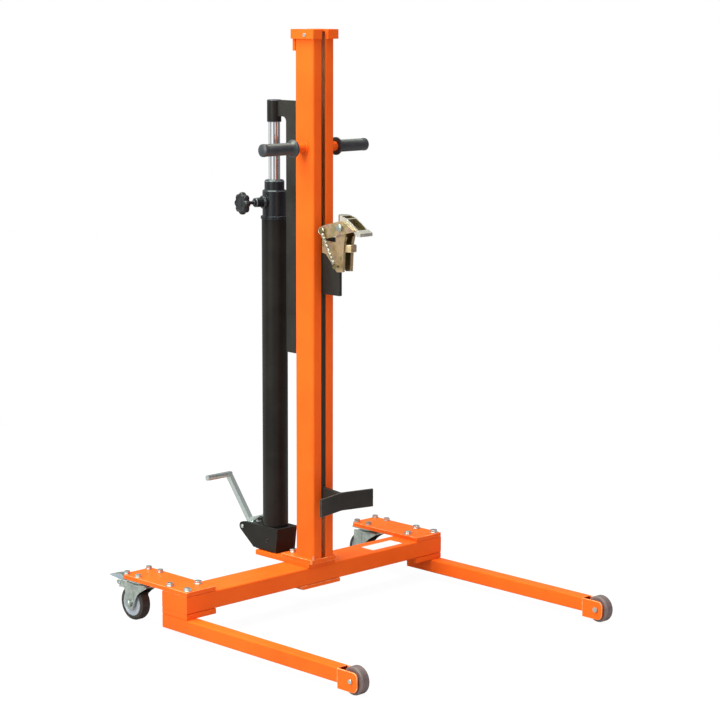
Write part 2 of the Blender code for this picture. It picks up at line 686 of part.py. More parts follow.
def build_casters(stand, materials):
    for name, side in SIDES:
        braked = name == BRAKED_SIDE
        build_caster_plate(name, side, stand, materials)
        swivel = add_empty("caster_swivel_" + name, (side * CASTER_X, CASTER_Y, 0), stand)
        inside = FORK_INSIDE / 2
        outside = inside + FORK_WALL
        fork = add_object("caster_fork_" + name, prism(caster_leg_outline(braked), "X", -outside, -inside),
                          materials["zinc"], swivel)
        fuse(fork, prism(caster_leg_outline(braked), "X", inside, outside))
        crown = rounded_rectangle((-outside, -0.036), (outside, 0.046), (0.004, 0.004, 0.004, 0.004))
        fuse(fork, prism(crown, "Z", CROWN_LOW, CROWN_TOP))
        fuse(fork, turned([(0, CROWN_TOP - 0.001), (0.0345, CROWN_TOP - 0.001), (0.0345, CROWN_TOP + 0.0030),
                           (0.0290, CROWN_TOP + 0.0075), (0.0290, RACE_LOW - GAP), (0, RACE_LOW - GAP)], "Z", 20))
        cut(fork, rod(0.0085, "Z", CROWN_LOW - 0.002, RACE_LOW, 10))
        bore = CASTER_AXLE_RADIUS + HOLE_CLEAR
        cut(fork, rod(bore, "X", -outside - GAP, outside + GAP, 12, (CASTER_TRAIL, WHEEL_RADIUS)))
        if braked:
            pin_hole = BRAKE_PIN_RADIUS + HOLE_CLEAR
            cut(fork, rod(pin_hole, "X", -outside - GAP, outside + GAP, 8, (BRAKE_PIN_Y, BRAKE_PIN_Z)))

        wheel = add_empty("caster_wheel_axis_" + name, (0, CASTER_TRAIL, WHEEL_RADIUS), swivel)
        half = WHEEL_WIDTH / 2
        profile = [(bore, -half - 0.002), (0.012, -half - 0.002), (0.013, -half + 0.006), (CORE_RADIUS - 0.006, -half + 0.006),
                   (CORE_RADIUS, -half + 0.001), (CORE_RADIUS, half - 0.001), (CORE_RADIUS - 0.006, half - 0.006),
                   (0.013, half - 0.006),
                   (0.012, half + 0.002), (bore, half + 0.002)]
        add_object("caster_core_" + name, turned(profile, "X", 20, ring=True), materials["core_plastic"], wheel)
        rim = CORE_RADIUS + GAP
        profile = [(rim, -half)] + [(WHEEL_RADIUS - 0.008 + r, x) for x, r in arc((-half + 0.008, 0), 0.008, 180, 90, 2)]
        profile += [(WHEEL_RADIUS - 0.008 + r, x) for x, r in arc((half - 0.008, 0), 0.008, 90, 0, 2)] + [(rim, half)]
        add_object("caster_tyre_" + name, turned(profile, "X", 28, ring=True), materials["tyre_rubber"], wheel)

        seat = outside + GAP
        radius = CASTER_AXLE_RADIUS
        profile = [(0, -seat - 0.007), (0.009, -seat - 0.007), (0.010, -seat - 0.005), (0.010, -seat), (radius, -seat),
                   (radius, seat), (0.010, seat), (0.010, seat + 0.007), (radius, seat + 0.007),
                   (radius, seat + 0.009), (0, seat + 0.009)]
        add_object("caster_axle_" + name, turned([(r, -side * x) for r, x in profile], "X", 12), materials["zinc"],
                   swivel, (0, CASTER_TRAIL, WHEEL_RADIUS))
        if braked:
            build_brake(name, swivel, materials)


def build_brake(name, swivel, materials):
    """A pressed pedal between the ears of the fork, with its pin in one piece."""
    hinge = add_empty("brake_axis_" + name, (0, BRAKE_PIN_Y, BRAKE_PIN_Z), swivel)
    half = FORK_INSIDE / 2 - RUN_CLEAR
    reach = FORK_INSIDE / 2 + FORK_WALL + RUN_CLEAR
    outline = [(0.0110, -0.0140), (0.0110, -0.0120), (-0.0025, -0.0112), (-0.0025, 0.0210), (0.0040, 0.0222),
               (0.0290, 0.0168), (0.0500, 0.0128), (0.0505, 0.0148), (0.0300, 0.0191), (0.0045, 0.0247),
               (-0.0045, 0.0240), (-0.0060, 0.0220), (-0.0060, -0.0125)]
    pedal = add_object("brake_pedal_" + name, prism(outline, "X", -half, half), materials["zinc"], hinge)
    fuse(pedal, rod(BRAKE_PIN_RADIUS, "X", -reach, reach, 12))


def build_grips(stand, rubber):
    """Ribbed sleeves, closed at the outer end, with a collar at the hand's inner side."""
    for name, side in SIDES:
        length = GRIP_OUTER_END - GRIP_INNER_END
        bore = STUB_RADIUS + GAP
        depth = STUB_LENGTH / 2 + RUN_CLEAR
        profile = [(0, depth), (bore, depth), (bore, 0), (COLLAR_RADIUS - 0.002, 0), (COLLAR_RADIUS, 0.002),
                   (COLLAR_RADIUS, COLLAR_THICKNESS - 0.002), (COLLAR_RADIUS - 0.002, COLLAR_THICKNESS),
                   (GRIP_RADIUS, COLLAR_THICKNESS + 0.003)]
        ribs = 2
        start, end = COLLAR_THICKNESS + 0.012, length - 0.022
        pitch = (end - start) / ribs
        for rib in range(ribs):
            base = start + rib * pitch
            profile += [(GRIP_RADIUS, base), (GRIP_RADIUS - 0.0012, base + pitch * 0.2),
                        (GRIP_RADIUS - 0.0012, base + pitch * 0.6), (GRIP_RADIUS, base + pitch * 0.8)]
        profile += [(GRIP_RADIUS, length - 0.012), (GRIP_RADIUS + 0.0010, length - 0.009),
                    (GRIP_RADIUS + 0.0010, length - 0.004), (GRIP_RADIUS - 0.003, length), (0, length)]
        bm = turned(profile_in(profile, side), "X", 16)
        add_object("handle_grip_" + name, bm, rubber, stand, (side * GRIP_INNER_END, 0, HANDLE_HEIGHT))


def profile_in(profile, side):
    """The same (radius, distance) profile, pointing to the left or the right."""
    return [(radius, side * distance) for radius, distance in profile]


def pump_cheek_outline():
    """Side plate of the pump: straight front and top, boss at the pedal pin, sloping lower rear."""
    boss = arc((PEDAL_PIN_Y, PEDAL_PIN_Z), PEDAL_BOSS_RADIUS, -50, 90, 8)
    lean = [(PUMP_LOW_REAR, PUMP_LOW + 0.004), (PUMP_LOW_REAR + 0.005, PUMP_LOW + 0.008)]
    return [(PUMP_FRONT_LOW, PUMP_LOW + 0.003)] + lean + boss + [(PEDAL_PIN_Y - 0.012, PUMP_TOP), (PUMP_FRONT, PUMP_TOP)]


def build_pump(stand, materials):
    """The pump block is one casting: a solid body between two cheeks that hold the pedal pin."""
    half = PUMP_WIDTH / 2
    inner = half - CHEEK_THICKNESS
    pump = add_object("pump_block", prism(pump_cheek_outline(), "X", -half, -inner), materials["black"], stand)
    fuse(pump, prism(pump_cheek_outline(), "X", inner, half))
    body = [(PUMP_FRONT_LOW + 0.001, PUMP_LOW), (PUMP_LOW_REAR - 0.004, PUMP_LOW), (PUMP_BODY_REAR, PUMP_LOW + 0.030),
            (PUMP_BODY_REAR, PUMP_TOP - 0.018), (PUMP_BODY_REAR - 0.006, PUMP_TOP - 0.001), (PUMP_FRONT + 0.001, PUMP_TOP - 0.001)]
    fuse(pump, prism(body, "X", -inner - GAP, inner + GAP))
    cut(pump, rod(PEDAL_PIN_RADIUS + HOLE_CLEAR, "X", -half - GAP, half + GAP, 16, (PEDAL_PIN_Y, PEDAL_PIN_Z)))
    cut(pump, rod(PLUNGER_RADIUS + HOLE_CLEAR, "Z", PUMP_TOP - PLUNGER_DEPTH - PLUNGER_BORE_EXTRA, PUMP_TOP + GAP, 16,
                  (0, PLUNGER_Y)))
    cut(pump, rod(0.0035, "X", -half - GAP, -half + 0.012, 12, (0.162, 0.173)))

    reach = half + 0.0025
    profile = [(0, -reach), (PEDAL_PIN_RADIUS - 0.001, -reach), (PEDAL_PIN_RADIUS, -reach + 0.001),
               (PEDAL_PIN_RADIUS, reach - 0.001), (PEDAL_PIN_RADIUS - 0.001, reach), (0, reach)]
    add_object("pedal_pin", turned(profile, "X", 16), materials["zinc"], stand, (0, PEDAL_PIN_Y, PEDAL_PIN_Z))

    top = PUMP_TOP + PLUNGER_RISE
    low = PUMP_TOP - PLUNGER_DEPTH
    profile = [(0, low), (PLUNGER_RADIUS, low), (PLUNGER_RADIUS, top - 0.007), (0.0085, top - 0.006),
               (0.0085, top - 0.001), (0.0070, top), (0, top)]
    add_object("pump_plunger", turned(profile, "Z", 16), materials["black"], stand, (0, PLUNGER_Y, 0))


def build_pedal(stand, zinc):
    """Square bar: boss on the pin, a nose over the plunger, up and back, then sideways as the tread."""
    hinge = add_empty("pedal_axis", (0, PEDAL_PIN_Y, PEDAL_PIN_Z), stand)
    half = PEDAL_BAR / 2
    bend = Vector((PEDAL_BEND_Y - PEDAL_PIN_Y, PEDAL_BEND_Z - PEDAL_PIN_Z))
    direction = bend.normalized()
    across = Vector((-direction.y, direction.x)) * half
    end = bend + direction * half * 0.35
    outline = [tuple(-across), tuple(end - across), tuple(end + across), tuple(across)]
    pedal = add_object("foot_pedal", prism(outline, "X", -half, half), zinc, hinge)
    fuse(pedal, rod(0.0120, "X", -half - 0.004, half + 0.004, 20))
    nose_top = PUMP_TOP + PLUNGER_RISE - PEDAL_PIN_Z + GAP
    nose = [(0.006, 0.004), (0.004, 0.020), (PLUNGER_Y - PEDAL_PIN_Y - 0.006, nose_top + 0.008),
            (PLUNGER_Y - PEDAL_PIN_Y - 0.008, nose_top), (PLUNGER_Y - PEDAL_PIN_Y + 0.008, nose_top),
            (-0.012, 0.012), (-0.008, 0.002)]
    fuse(pedal, prism(nose, "X", -half + 0.001, half - 0.001))
    tread = rounded_rectangle((bend.x - half, bend.y - half), (bend.x + half, bend.y + half), (0.0035,) * 4, 2)
    fuse(pedal, prism(tread, "X", half - PEDAL_TREAD_LENGTH, half + 0.0005))
    cut(pedal, rod(PEDAL_PIN_RADIUS + HOLE_CLEAR, "X", -half - 0.006, half + 0.006, 16))


def build_cylinder(stand, materials):
    """Tube, head with its ring and valve boss, gland with a wiper, all on one axis behind the mast."""
    place = (0, CYLINDER_Y, 0)
    tube = turned([(0, TUBE_LOW), (TUBE_RADIUS, TUBE_LOW), (TUBE_RADIUS, TUBE_TOP), (TUBE_BORE, TUBE_TOP),
                   (TUBE_BORE, TUBE_LOW + 0.020), (0, TUBE_LOW + 0.020)], "Z", 32)
    add_object("cylinder_tube", tube, materials["black"], stand, place)
    bore = ROD_RADIUS + RUN_CLEAR
    profile = [(bore, HEAD_LOW), (RING_RADIUS, HEAD_LOW), (RING_RADIUS, HEAD_LOW + RING_HEIGHT),
               (HEAD_RADIUS, HEAD_LOW + RING_HEIGHT + 0.001), (HEAD_RADIUS, HEAD_TOP - 0.003),
               (HEAD_RADIUS - 0.003, HEAD_TOP), (bore, HEAD_TOP)]
    head = add_object("cylinder_head", turned(profile, "Z", 32, ring=True), materials["black"], stand, place)
    boss = turned([(0, HEAD_RADIUS - 0.010), (VALVE_BOSS_RADIUS, HEAD_RADIUS - 0.010),
                   (VALVE_BOSS_RADIUS, VALVE_BOSS_REACH - 0.003), (VALVE_BOSS_RADIUS - 0.003, VALVE_BOSS_REACH),
                   (0, VALVE_BOSS_REACH)], "X", 16)
    bmesh.ops.transform(boss, matrix=valve_matrix(), verts=boss.verts)
    fuse(head, boss)
    low = HEAD_TOP + GAP
    profile = [(bore, low), (GLAND_RADIUS, low), (GLAND_RADIUS, GLAND_TOP - 0.004), (GLAND_RADIUS - 0.004, GLAND_TOP),
               (bore + 0.004, GLAND_TOP), (bore + 0.004, GLAND_TOP - 0.005), (bore, GLAND_TOP - 0.005)]
    add_object("gland", turned(profile, "Z", 24, ring=True), materials["black"], stand, place)
    profile = [(ROD_RADIUS + GAP, GLAND_TOP - 0.005 + GAP), (bore + 0.004 - GAP, GLAND_TOP - 0.005 + GAP),
               (bore + 0.004 - GAP, GLAND_TOP - 0.001), (ROD_RADIUS + GAP, GLAND_TOP + 0.001)]
    add_object("rod_wiper", turned(profile, "Z", 20, ring=True), materials["seal_rubber"], stand, place)


def valve_matrix():
    """From the X axis of a turned part to the valve's own direction, left and a little to the rear."""
    return Matrix.Translation((0, 0, VALVE_Z)) @ Matrix.Rotation(math.pi - VALVE_TURN, 4, "Z")


def build_valve(stand, materials):
    start, end = VALVE_BOSS_REACH + GAP, KNOB_NEAR + 0.008
    profile = [(0, start), (VALVE_FITTING_RADIUS, start), (VALVE_FITTING_RADIUS, VALVE_FITTING_REACH - 0.003),
               (VALVE_FITTING_RADIUS - 0.003, VALVE_FITTING_REACH), (VALVE_STEM_RADIUS, VALVE_FITTING_REACH + 0.001),
               (VALVE_STEM_RADIUS, end), (0, end)]
    bm = turned(profile, "X", 18)
    bmesh.ops.transform(bm, matrix=valve_matrix(), verts=bm.verts)
    add_object("valve_fitting", bm, materials["black"], stand, (0, CYLINDER_Y, 0))

    direction = Vector((-math.cos(VALVE_TURN), math.sin(VALVE_TURN), 0))
    middle = (KNOB_NEAR + KNOB_FAR) / 2
    axis_point = Vector((0, CYLINDER_Y, VALVE_Z)) + direction * middle
    hinge = add_empty("release_knob_axis", axis_point, stand)
    half = (KNOB_FAR - KNOB_NEAR) / 2
    steps = KNOB_LOBES * 4
    outline = []
    for step in range(steps):
        angle = math.tau * step / steps
        radius = KNOB_RADIUS - KNOB_LOBE_DEPTH * (0.5 - 0.5 * math.cos(KNOB_LOBES * angle))
        outline.append((radius * math.cos(angle), radius * math.sin(angle)))
    bm = prism(outline, "X", -half * 0.7, half * 0.8)
    rim = [edge for edge in bm.edges if abs(edge.verts[0].co.x - edge.verts[1].co.x) < 1e-6]
    bmesh.ops.bevel(bm, geom=rim, offset=0.003, segments=1, profile=0.5, affect="EDGES", material=-1)
    bmesh.ops.rotate(bm, verts=bm.verts, cent=(0, 0, 0), matrix=Matrix.Rotation(math.pi - VALVE_TURN, 3, "Z"))
    knob = add_object("release_knob", bm, materials["black"], hinge)
    turn = Matrix.Rotation(math.pi - VALVE_TURN, 3, "Z")
    hub = rod(0.011, "X", -half, half * 0.5, 18)
    bmesh.ops.rotate(hub, verts=hub.verts, cent=(0, 0, 0), matrix=turn)
    fuse(knob, hub)
    bore = rod(VALVE_STEM_RADIUS + HOLE_CLEAR, "X", -half - GAP, -half + 0.0085 + HOLE_CLEAR, 12)
    bmesh.ops.rotate(bore, verts=bore.verts, cent=(0, 0, 0), matrix=turn)
    cut(knob, bore)


def build_ram(carriage, materials):
    """The rod with its piston in the tube's bore, and the cap sleeve that lifts the carriage."""
    piston_low = TUBE_LOW + RAM_CAP_LIFT + PISTON_FROM_GLAND
    piston_top = piston_low + PISTON_HEIGHT
    piston = TUBE_BORE - HOLE_CLEAR
    profile = [(0, piston_low), (piston - 0.001, piston_low), (piston, piston_low + 0.001), (piston, piston_top),
               (ROD_RADIUS, piston_top + 0.001), (ROD_RADIUS, RAM_CAP_LOW + ROD_ENTRY), (0, RAM_CAP_LOW + ROD_ENTRY)]
    place = (0, CYLINDER_Y, 0)
    add_object("ram_rod", turned(profile, "Z", 28), materials["chrome"], carriage, place)
    bore = ROD_RADIUS + GAP
    seat = RAM_CAP_LOW + ROD_ENTRY + GAP
    profile = [(0, seat), (bore, seat), (bore, RAM_CAP_LOW), (RAM_CAP_RADIUS - 0.001, RAM_CAP_LOW),
               (RAM_CAP_RADIUS, RAM_CAP_LOW + 0.001), (RAM_CAP_RADIUS, RAM_CAP_TOP - 0.001),
               (RAM_CAP_RADIUS - 0.001, RAM_CAP_TOP), (0, RAM_CAP_TOP)]
    add_object("ram_cap", turned(profile, "Z", 28), materials["black"], carriage, place)


def carriage_outline():
    """Side view of the whole plate, from the arm at the ram cap round to the carrier of the rest."""
    sleeve = CYLINDER_Y - RAM_CAP_RADIUS - GAP
    inner = BACK_BAR_REAR + ARM_FILLET
    outline = [(sleeve, RAM_CAP_TOP), (BACK_BAR_FRONT, RAM_CAP_TOP), (BACK_BAR_FRONT, BRIDGE_TOP),
               (FRONT_BAR_FACE, BRIDGE_TOP), (FRONT_BAR_FACE, BRACKET_TOP), (BRACKET_REACH, BRACKET_TOP),
               (BRACKET_REACH, BRACKET_LOW), (FRONT_BAR_FACE, BRACKET_LOW), (FRONT_BAR_FACE, REST_CARRIER_TOP)]
    carrier_end = REST_BEND_Y + REST_THICKNESS + GAP
    outline += [(carrier_end, REST_CARRIER_TOP - 0.006), (carrier_end, FRONT_BAR_LOW + 0.004),
                (FRONT_BAR_FACE, FRONT_BAR_LOW), (FRONT_BAR_BACK, FRONT_BAR_LOW), (FRONT_BAR_BACK, BACK_BAR_LOW),
                (BACK_BAR_REAR, BACK_BAR_LOW)]
    outline += arc((inner, ARM_LOW - ARM_FILLET), ARM_FILLET, 180, 90, 5)
    outline += [(sleeve, ARM_LOW)]
    return outline


def build_carriage(carriage, materials):
    """One plate in the slots carries the arm, the clamp bracket and the rest, with four stub axles."""
    half = CARRIAGE_THICKNESS / 2
    plate = add_object("carriage_plate", prism(carriage_outline(), "X", -half, half), materials["black"], carriage)
    reach = GUIDE_INNER + GUIDE_WIDTH + 0.003
    shoulder = GUIDE_INNER - GAP
    for height in (GUIDE_LOW_Z, GUIDE_HIGH_Z):
        profile = [(0, -reach), (GUIDE_AXLE_RADIUS, -reach), (GUIDE_AXLE_RADIUS, -shoulder), (0.013, -shoulder),
                   (0.013, shoulder), (GUIDE_AXLE_RADIUS, shoulder), (GUIDE_AXLE_RADIUS, reach), (0, reach)]
        fuse(plate, turned_at(profile, "X", 12, (0, height)))
    cut(plate, rod(CLAMP_PIVOT_RADIUS + HOLE_CLEAR, "X", -half - GAP, half + GAP, 16, (CLAMP_BOLT_Y, CLAMP_BOLT_Z)))
    for level, height in (("lower", GUIDE_LOW_Z), ("upper", GUIDE_HIGH_Z)):
        for name, side in SIDES:
            middle = side * (GUIDE_INNER + GUIDE_WIDTH / 2)
            axle = add_empty(f"guide_axis_{level}_{name}", (middle, 0, height), carriage)
            width = GUIDE_WIDTH / 2
            bore = GUIDE_AXLE_RADIUS + HOLE_CLEAR
            profile = [(bore, -width), (GUIDE_RADIUS, -width), (GUIDE_RADIUS, width), (bore, width)]
            add_object(f"guide_roller_{level}_{name}", turned(profile, "X", 18, ring=True), materials["zinc"], axle)


def build_rest(carriage, black):
    """A bent strip, its two arms swept forward to cradle the drum."""
    t = REST_THICKNESS
    lean = math.atan2(REST_SWEEP, REST_HALF_WIDTH)
    shift_x, shift_y = t * math.sin(lean), t * math.cos(lean)
    end_y = REST_BEND_Y - REST_SWEEP
    outline = [(0, REST_BEND_Y), (REST_HALF_WIDTH, end_y), (REST_HALF_WIDTH + shift_x, end_y + shift_y),
               (0, REST_BEND_Y + t), (-REST_HALF_WIDTH - shift_x, end_y + shift_y), (-REST_HALF_WIDTH, end_y)]
    rest = add_object("drum_rest", prism(outline, "Z", FRONT_BAR_LOW, REST_TOP), black, carriage)
    soften(rest, 0.001, 1)


def clamp_wall_outline():
    """Side wall of the clamp body: tapered down, a wing behind, a round ear at the pivot."""
    ear = arc((CLAMP_PIVOT_Y, CLAMP_PIVOT_Z), EAR_RADIUS, 0, 180, 6)
    front = [(FRONT_HIGH_Y, WEB_TOP), (FRONT_MIDDLE_Y, JAW_TOP), (FRONT_LOW_Y, CLAMP_LOW)]
    rear = [(HEEL_Y, CLAMP_LOW - 0.002), (WING_ROOT_Y, WING_ROOT_LOW), (WING_END_Y, WING_END_LOW),
            (WING_END_Y, WING_END_TOP), (WING_SEAT_Y, WING_SEAT_TOP), (WING_SEAT_Y, NECK_TOP)]
    return ear + front + rear


def build_clamp(carriage, materials):
    """Body on the bracket, lever with two cheeks about the pivot, beak between the cheeks."""
    half = CLAMP_WIDTH / 2
    inner = half - CLAMP_WALL
    body = add_object("clamp_body", prism(clamp_wall_outline(), "X", -half, -inner), materials["yellow_zinc"], carriage)
    fuse(body, prism(clamp_wall_outline(), "X", inner, half))
    web_rear = BRACKET_REACH - GAP
    web = [(web_rear, CLAMP_LOW + 0.004), (web_rear, WEB_TOP), (web_rear - CLAMP_WEB, WEB_TOP),
           (web_rear - CLAMP_WEB, CLAMP_LOW + 0.004)]
    fuse(body, prism(web, "X", -inner - GAP, inner + GAP))
    skin = 0.0005
    lines = ((FRONT_HIGH_Y, WEB_TOP - 0.001), (FRONT_MIDDLE_Y, JAW_TOP), (FRONT_LOW_Y, CLAMP_LOW + skin))
    flange = [(y + skin, z) for y, z in lines]
    flange += [(y + skin + FLANGE_THICKNESS, z) for y, z in reversed(lines)]
    for _, side in SIDES:
        low, high = sided(inner - 0.004, inner + GAP, side)
        fuse(body, prism(flange, "X", low, high))
    reach = half + LEVER_THICKNESS + RUN_CLEAR + 0.0005
    head = reach + 0.006
    profile = [(0, -head), (0.0095, -head), (0.0105, -head + 0.001), (0.0105, -reach), (CLAMP_PIVOT_RADIUS, -reach),
               (CLAMP_PIVOT_RADIUS, reach), (0.0105, reach), (0.0105, head - 0.001), (0.0095, head), (0, head)]
    fuse(body, turned_at(profile, "X", 18, (CLAMP_PIVOT_Y, CLAMP_PIVOT_Z)))
    fuse(body, rod(CLAMP_PIVOT_RADIUS, "X", -half + 0.0015, half - 0.0015, 12, (CLAMP_BOLT_Y, CLAMP_BOLT_Z)))
    profile = [(0, -SPRING_X - 0.0050), (0.0075, -SPRING_X - 0.0050), (0.0075, -SPRING_X - 0.0035),
               (STUD_RADIUS, -SPRING_X - 0.0035), (STUD_RADIUS, -half + 0.002), (0, -half + 0.002)]
    fuse(body, turned_at(profile, "X", 14, (SPRING_STUD_Y, SPRING_STUD_Z)))

    jaw_rear = web_rear - CLAMP_WEB - GAP
    lip, neck = JAW_WIDTH / 2, JAW_NECK / 2
    face = neck + 0.0005
    plan = [(-neck, jaw_rear), (-neck, JAW_BACK_Y), (-lip, JAW_BACK_Y), (-lip, JAW_SIDE_Y), (-face, JAW_FACE_Y),
            (face, JAW_FACE_Y), (lip, JAW_SIDE_Y), (lip, JAW_BACK_Y), (neck, JAW_BACK_Y), (neck, jaw_rear)]
    lower_jaw = add_object("lower_jaw", prism(plan, "Z", JAW_LOW, JAW_TOP), materials["yellow_zinc"], carriage)
    soften(lower_jaw, 0.0012, 1)

    hinge = add_empty("clamp_axis", (0, CLAMP_PIVOT_Y, CLAMP_PIVOT_Z), carriage)
    build_lever(hinge, materials)
    build_beak(hinge, materials)
    build_spring(carriage, materials)


def from_pivot(points):
    """Points of the clamp's side view, measured from its pivot."""
    return [(y - CLAMP_PIVOT_Y, z - CLAMP_PIVOT_Z) for y, z in points]


def build_lever(hinge, materials):
    """Two cheeks outside the body's walls, tied by the pin that the spring pulls on."""
    outline = from_pivot([(-0.0540, 1.1070), (-0.0640, 1.1115), (-0.1260, 1.1270), (-0.1400, 1.1260), (-0.1830, 1.1050),
                          (-0.1830, 1.1020), (-0.0700, 1.0740), (-0.0550, 1.0830), (-0.0505, 1.0960)])
    half = CLAMP_WIDTH / 2 + RUN_CLEAR / 2
    lever = add_object("clamp_lever", prism(outline, "X", -half - LEVER_THICKNESS, -half), materials["yellow_zinc"], hinge)
    fuse(lever, prism(outline, "X", half, half + LEVER_THICKNESS))
    pin = (LEVER_PIN_Y - CLAMP_PIVOT_Y, LEVER_PIN_Z - CLAMP_PIVOT_Z)
    far = half + LEVER_THICKNESS + 0.004
    profile = [(0, -SPRING_X - 0.0050), (LEVER_PIN_RADIUS + 0.001, -SPRING_X - 0.0050), (LEVER_PIN_RADIUS + 0.001, -SPRING_X - 0.0035),
               (LEVER_PIN_RADIUS, -SPRING_X - 0.0035), (LEVER_PIN_RADIUS, far), (0, far)]
    fuse(lever, turned_at(profile, "X", 16, pin))
    reach = half + LEVER_THICKNESS + GAP
    cut(lever, rod(CLAMP_PIVOT_RADIUS + HOLE_CLEAR, "X", -reach, reach, 16))


def build_beak(hinge, materials):
    """A hump over the pivot, two arms and a rib sloping down to a bar across their tips, and a root on the pivot bolt."""
    wide = CLAMP_WIDTH / 2 - 0.0005
    under = CLAMP_PIVOT_Z + EAR_RADIUS + 0.0015
    profile = from_pivot([(-0.1000, 1.1440), (-0.1200, 1.1425), (-0.1460, 1.1360), (-0.1700, 1.1215), (-0.1960, 1.1030),
                          (-0.1960, 1.0900), (-0.1900, 1.0905), (-0.1460, 1.1200), (-0.1440, under), (-0.1000, under)])
    beak = add_object("beak", prism(profile, "X", -wide, wide), materials["bright_zinc"], hinge)
    plan = [(-wide, -0.2000), (-wide, -0.1240), (-0.0130, -0.1100), (-0.0040, -0.1045), (0.0040, -0.1045),
            (0.0130, -0.1100), (wide, -0.1240), (wide, -0.2000)]
    plan = [(x, y - CLAMP_PIVOT_Y) for x, y in plan]
    combine(beak, prism(plan, "Z", -0.030, 0.040), "INTERSECT")
    for tip, root in ((-0.1915, -0.1500), (-0.1465, -0.1280)):
        opening = rounded_rectangle((-BEAK_OPENING / 2, tip), (BEAK_OPENING / 2, root), (0.003,) * 4, 2)
        opening = [(x, y - CLAMP_PIVOT_Y) for x, y in opening]
        cut(beak, prism(opening, "Z", -0.030, 0.040))
    bar = from_pivot([(-0.1920, 1.0895), (-0.2070, 1.0890), (-0.2075, 1.0900), (-0.2070, 1.0985), (-0.2050, 1.0995),
                      (-0.1920, 1.1060)])
    fuse(beak, prism(bar, "X", -BEAK_BAR_WIDTH / 2, BEAK_BAR_WIDTH / 2))
    root_half = CLAMP_WIDTH / 2 - CLAMP_WALL - RUN_CLEAR
    root = arc((0, 0), 0.0115, 180, 360, 8) + [(0.0115, under - CLAMP_PIVOT_Z + 0.004), (-0.0115, under - CLAMP_PIVOT_Z + 0.004)]
    fuse(beak, prism(root, "X", -root_half, root_half))
    cut(beak, rod(CLAMP_PIVOT_RADIUS + HOLE_CLEAR, "X", -root_half - GAP, root_half + GAP, 16))


def build_spring(carriage, materials):
    """Tension spring from the lever's rear pin to the stud low on the body, drawn with the clamp shut."""
    top = Vector((-SPRING_X, LEVER_PIN_Y, LEVER_PIN_Z))
    low = Vector((-SPRING_X, SPRING_STUD_Y, SPRING_STUD_Z))
    direction = (low - top).normalized()
    start = top + direction * (LEVER_PIN_RADIUS + GAP + SPRING_WIRE)
    end = low - direction * (STUD_RADIUS + GAP + SPRING_WIRE)
    side = Vector((1, 0, 0))
    other = direction.cross(side)
    count = SPRING_TURNS * 6
    points = []
    for step in range(count + 1):
        share = step / count
        angle = math.tau * SPRING_TURNS * share
        centre = start.lerp(end, share)
        points.append(centre + (side * math.cos(angle) + other * math.sin(angle)) * SPRING_RADIUS)
    origin = add_empty("spring_axis", (0, 0, 0), carriage)
    add_object("clamp_spring", swept(points, SPRING_WIRE, 4), materials["zinc"], origin)


def main():
    clear_scene()
    materials = make_materials()
    stand = add_empty("mast_axis", (0, MAST_Y, 0))
    build_channels(stand, materials["orange"])
    build_cap(stand, materials["orange"])
    build_foot(stand, materials["orange"])
    build_beam(stand, materials["orange"])
    build_end_plates(stand, materials["orange"])
    build_legs(stand, materials["orange"])
    build_rollers(stand, materials)
    build_casters(stand, materials)
    build_grips(stand, materials["grip_rubber"])
    build_pump(stand, materials)
    build_pedal(stand, materials["zinc"])
    build_cylinder(stand, materials)
    build_valve(stand, materials)
    carriage = add_empty("lift_axis", (0, 0, 0), stand)
    build_ram(carriage, materials)
    build_carriage(carriage, materials)
    build_rest(carriage, materials["black"])
    build_clamp(carriage, materials)


main()
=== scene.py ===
# %% [markdown]
# # A hydraulic drum lifter
# The real object is a welded orange stand on wheels. A black plate rides in the slots of its mast, pushed
# up by a foot pump's ram, and carries a plated clamp that bites the rim of a drum. The solids come from the
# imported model, so this lesson is about finishes, soft edges and the small parts that a solid model leaves
# out.

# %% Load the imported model
import json
import math

import bmesh
import bpy
from mathutils import Matrix, Vector


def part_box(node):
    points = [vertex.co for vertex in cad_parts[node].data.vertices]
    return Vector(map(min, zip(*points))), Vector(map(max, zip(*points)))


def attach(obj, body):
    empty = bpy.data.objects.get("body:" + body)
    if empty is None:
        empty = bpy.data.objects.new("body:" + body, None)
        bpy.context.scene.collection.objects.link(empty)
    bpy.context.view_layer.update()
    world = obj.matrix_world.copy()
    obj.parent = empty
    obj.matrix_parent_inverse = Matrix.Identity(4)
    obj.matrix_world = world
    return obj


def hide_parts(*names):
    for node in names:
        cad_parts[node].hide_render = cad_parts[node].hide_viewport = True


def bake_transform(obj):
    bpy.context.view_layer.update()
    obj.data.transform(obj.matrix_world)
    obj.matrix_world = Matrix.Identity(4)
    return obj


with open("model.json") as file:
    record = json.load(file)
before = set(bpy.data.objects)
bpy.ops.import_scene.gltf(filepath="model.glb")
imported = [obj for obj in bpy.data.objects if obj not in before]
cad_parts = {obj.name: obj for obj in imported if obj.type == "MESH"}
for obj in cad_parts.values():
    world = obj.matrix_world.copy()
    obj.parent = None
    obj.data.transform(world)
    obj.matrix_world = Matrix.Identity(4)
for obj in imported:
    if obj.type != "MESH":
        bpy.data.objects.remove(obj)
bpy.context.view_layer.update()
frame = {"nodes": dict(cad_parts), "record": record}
bodies = frame["record"]["behaviour"]["bodies"]
body_of_node = {node: body for body, nodes in bodies.items() for node in nodes}

# %% [markdown]
# Every place below is measured from the mast's own axis, because that is how a welder would set the stand
# out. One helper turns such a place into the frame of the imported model.

# %% Places from the mast
mast_y = 0.16025


def place(x, y, z):
    return Vector((x, y + mast_y, z))


sides = (("left", -1), ("right", 1))
x_way, y_way, z_way = Vector((1, 0, 0)), Vector((0, 1, 0)), Vector((0, 0, 1))
print("the mast stands at", place(0, 0, 0)[:])

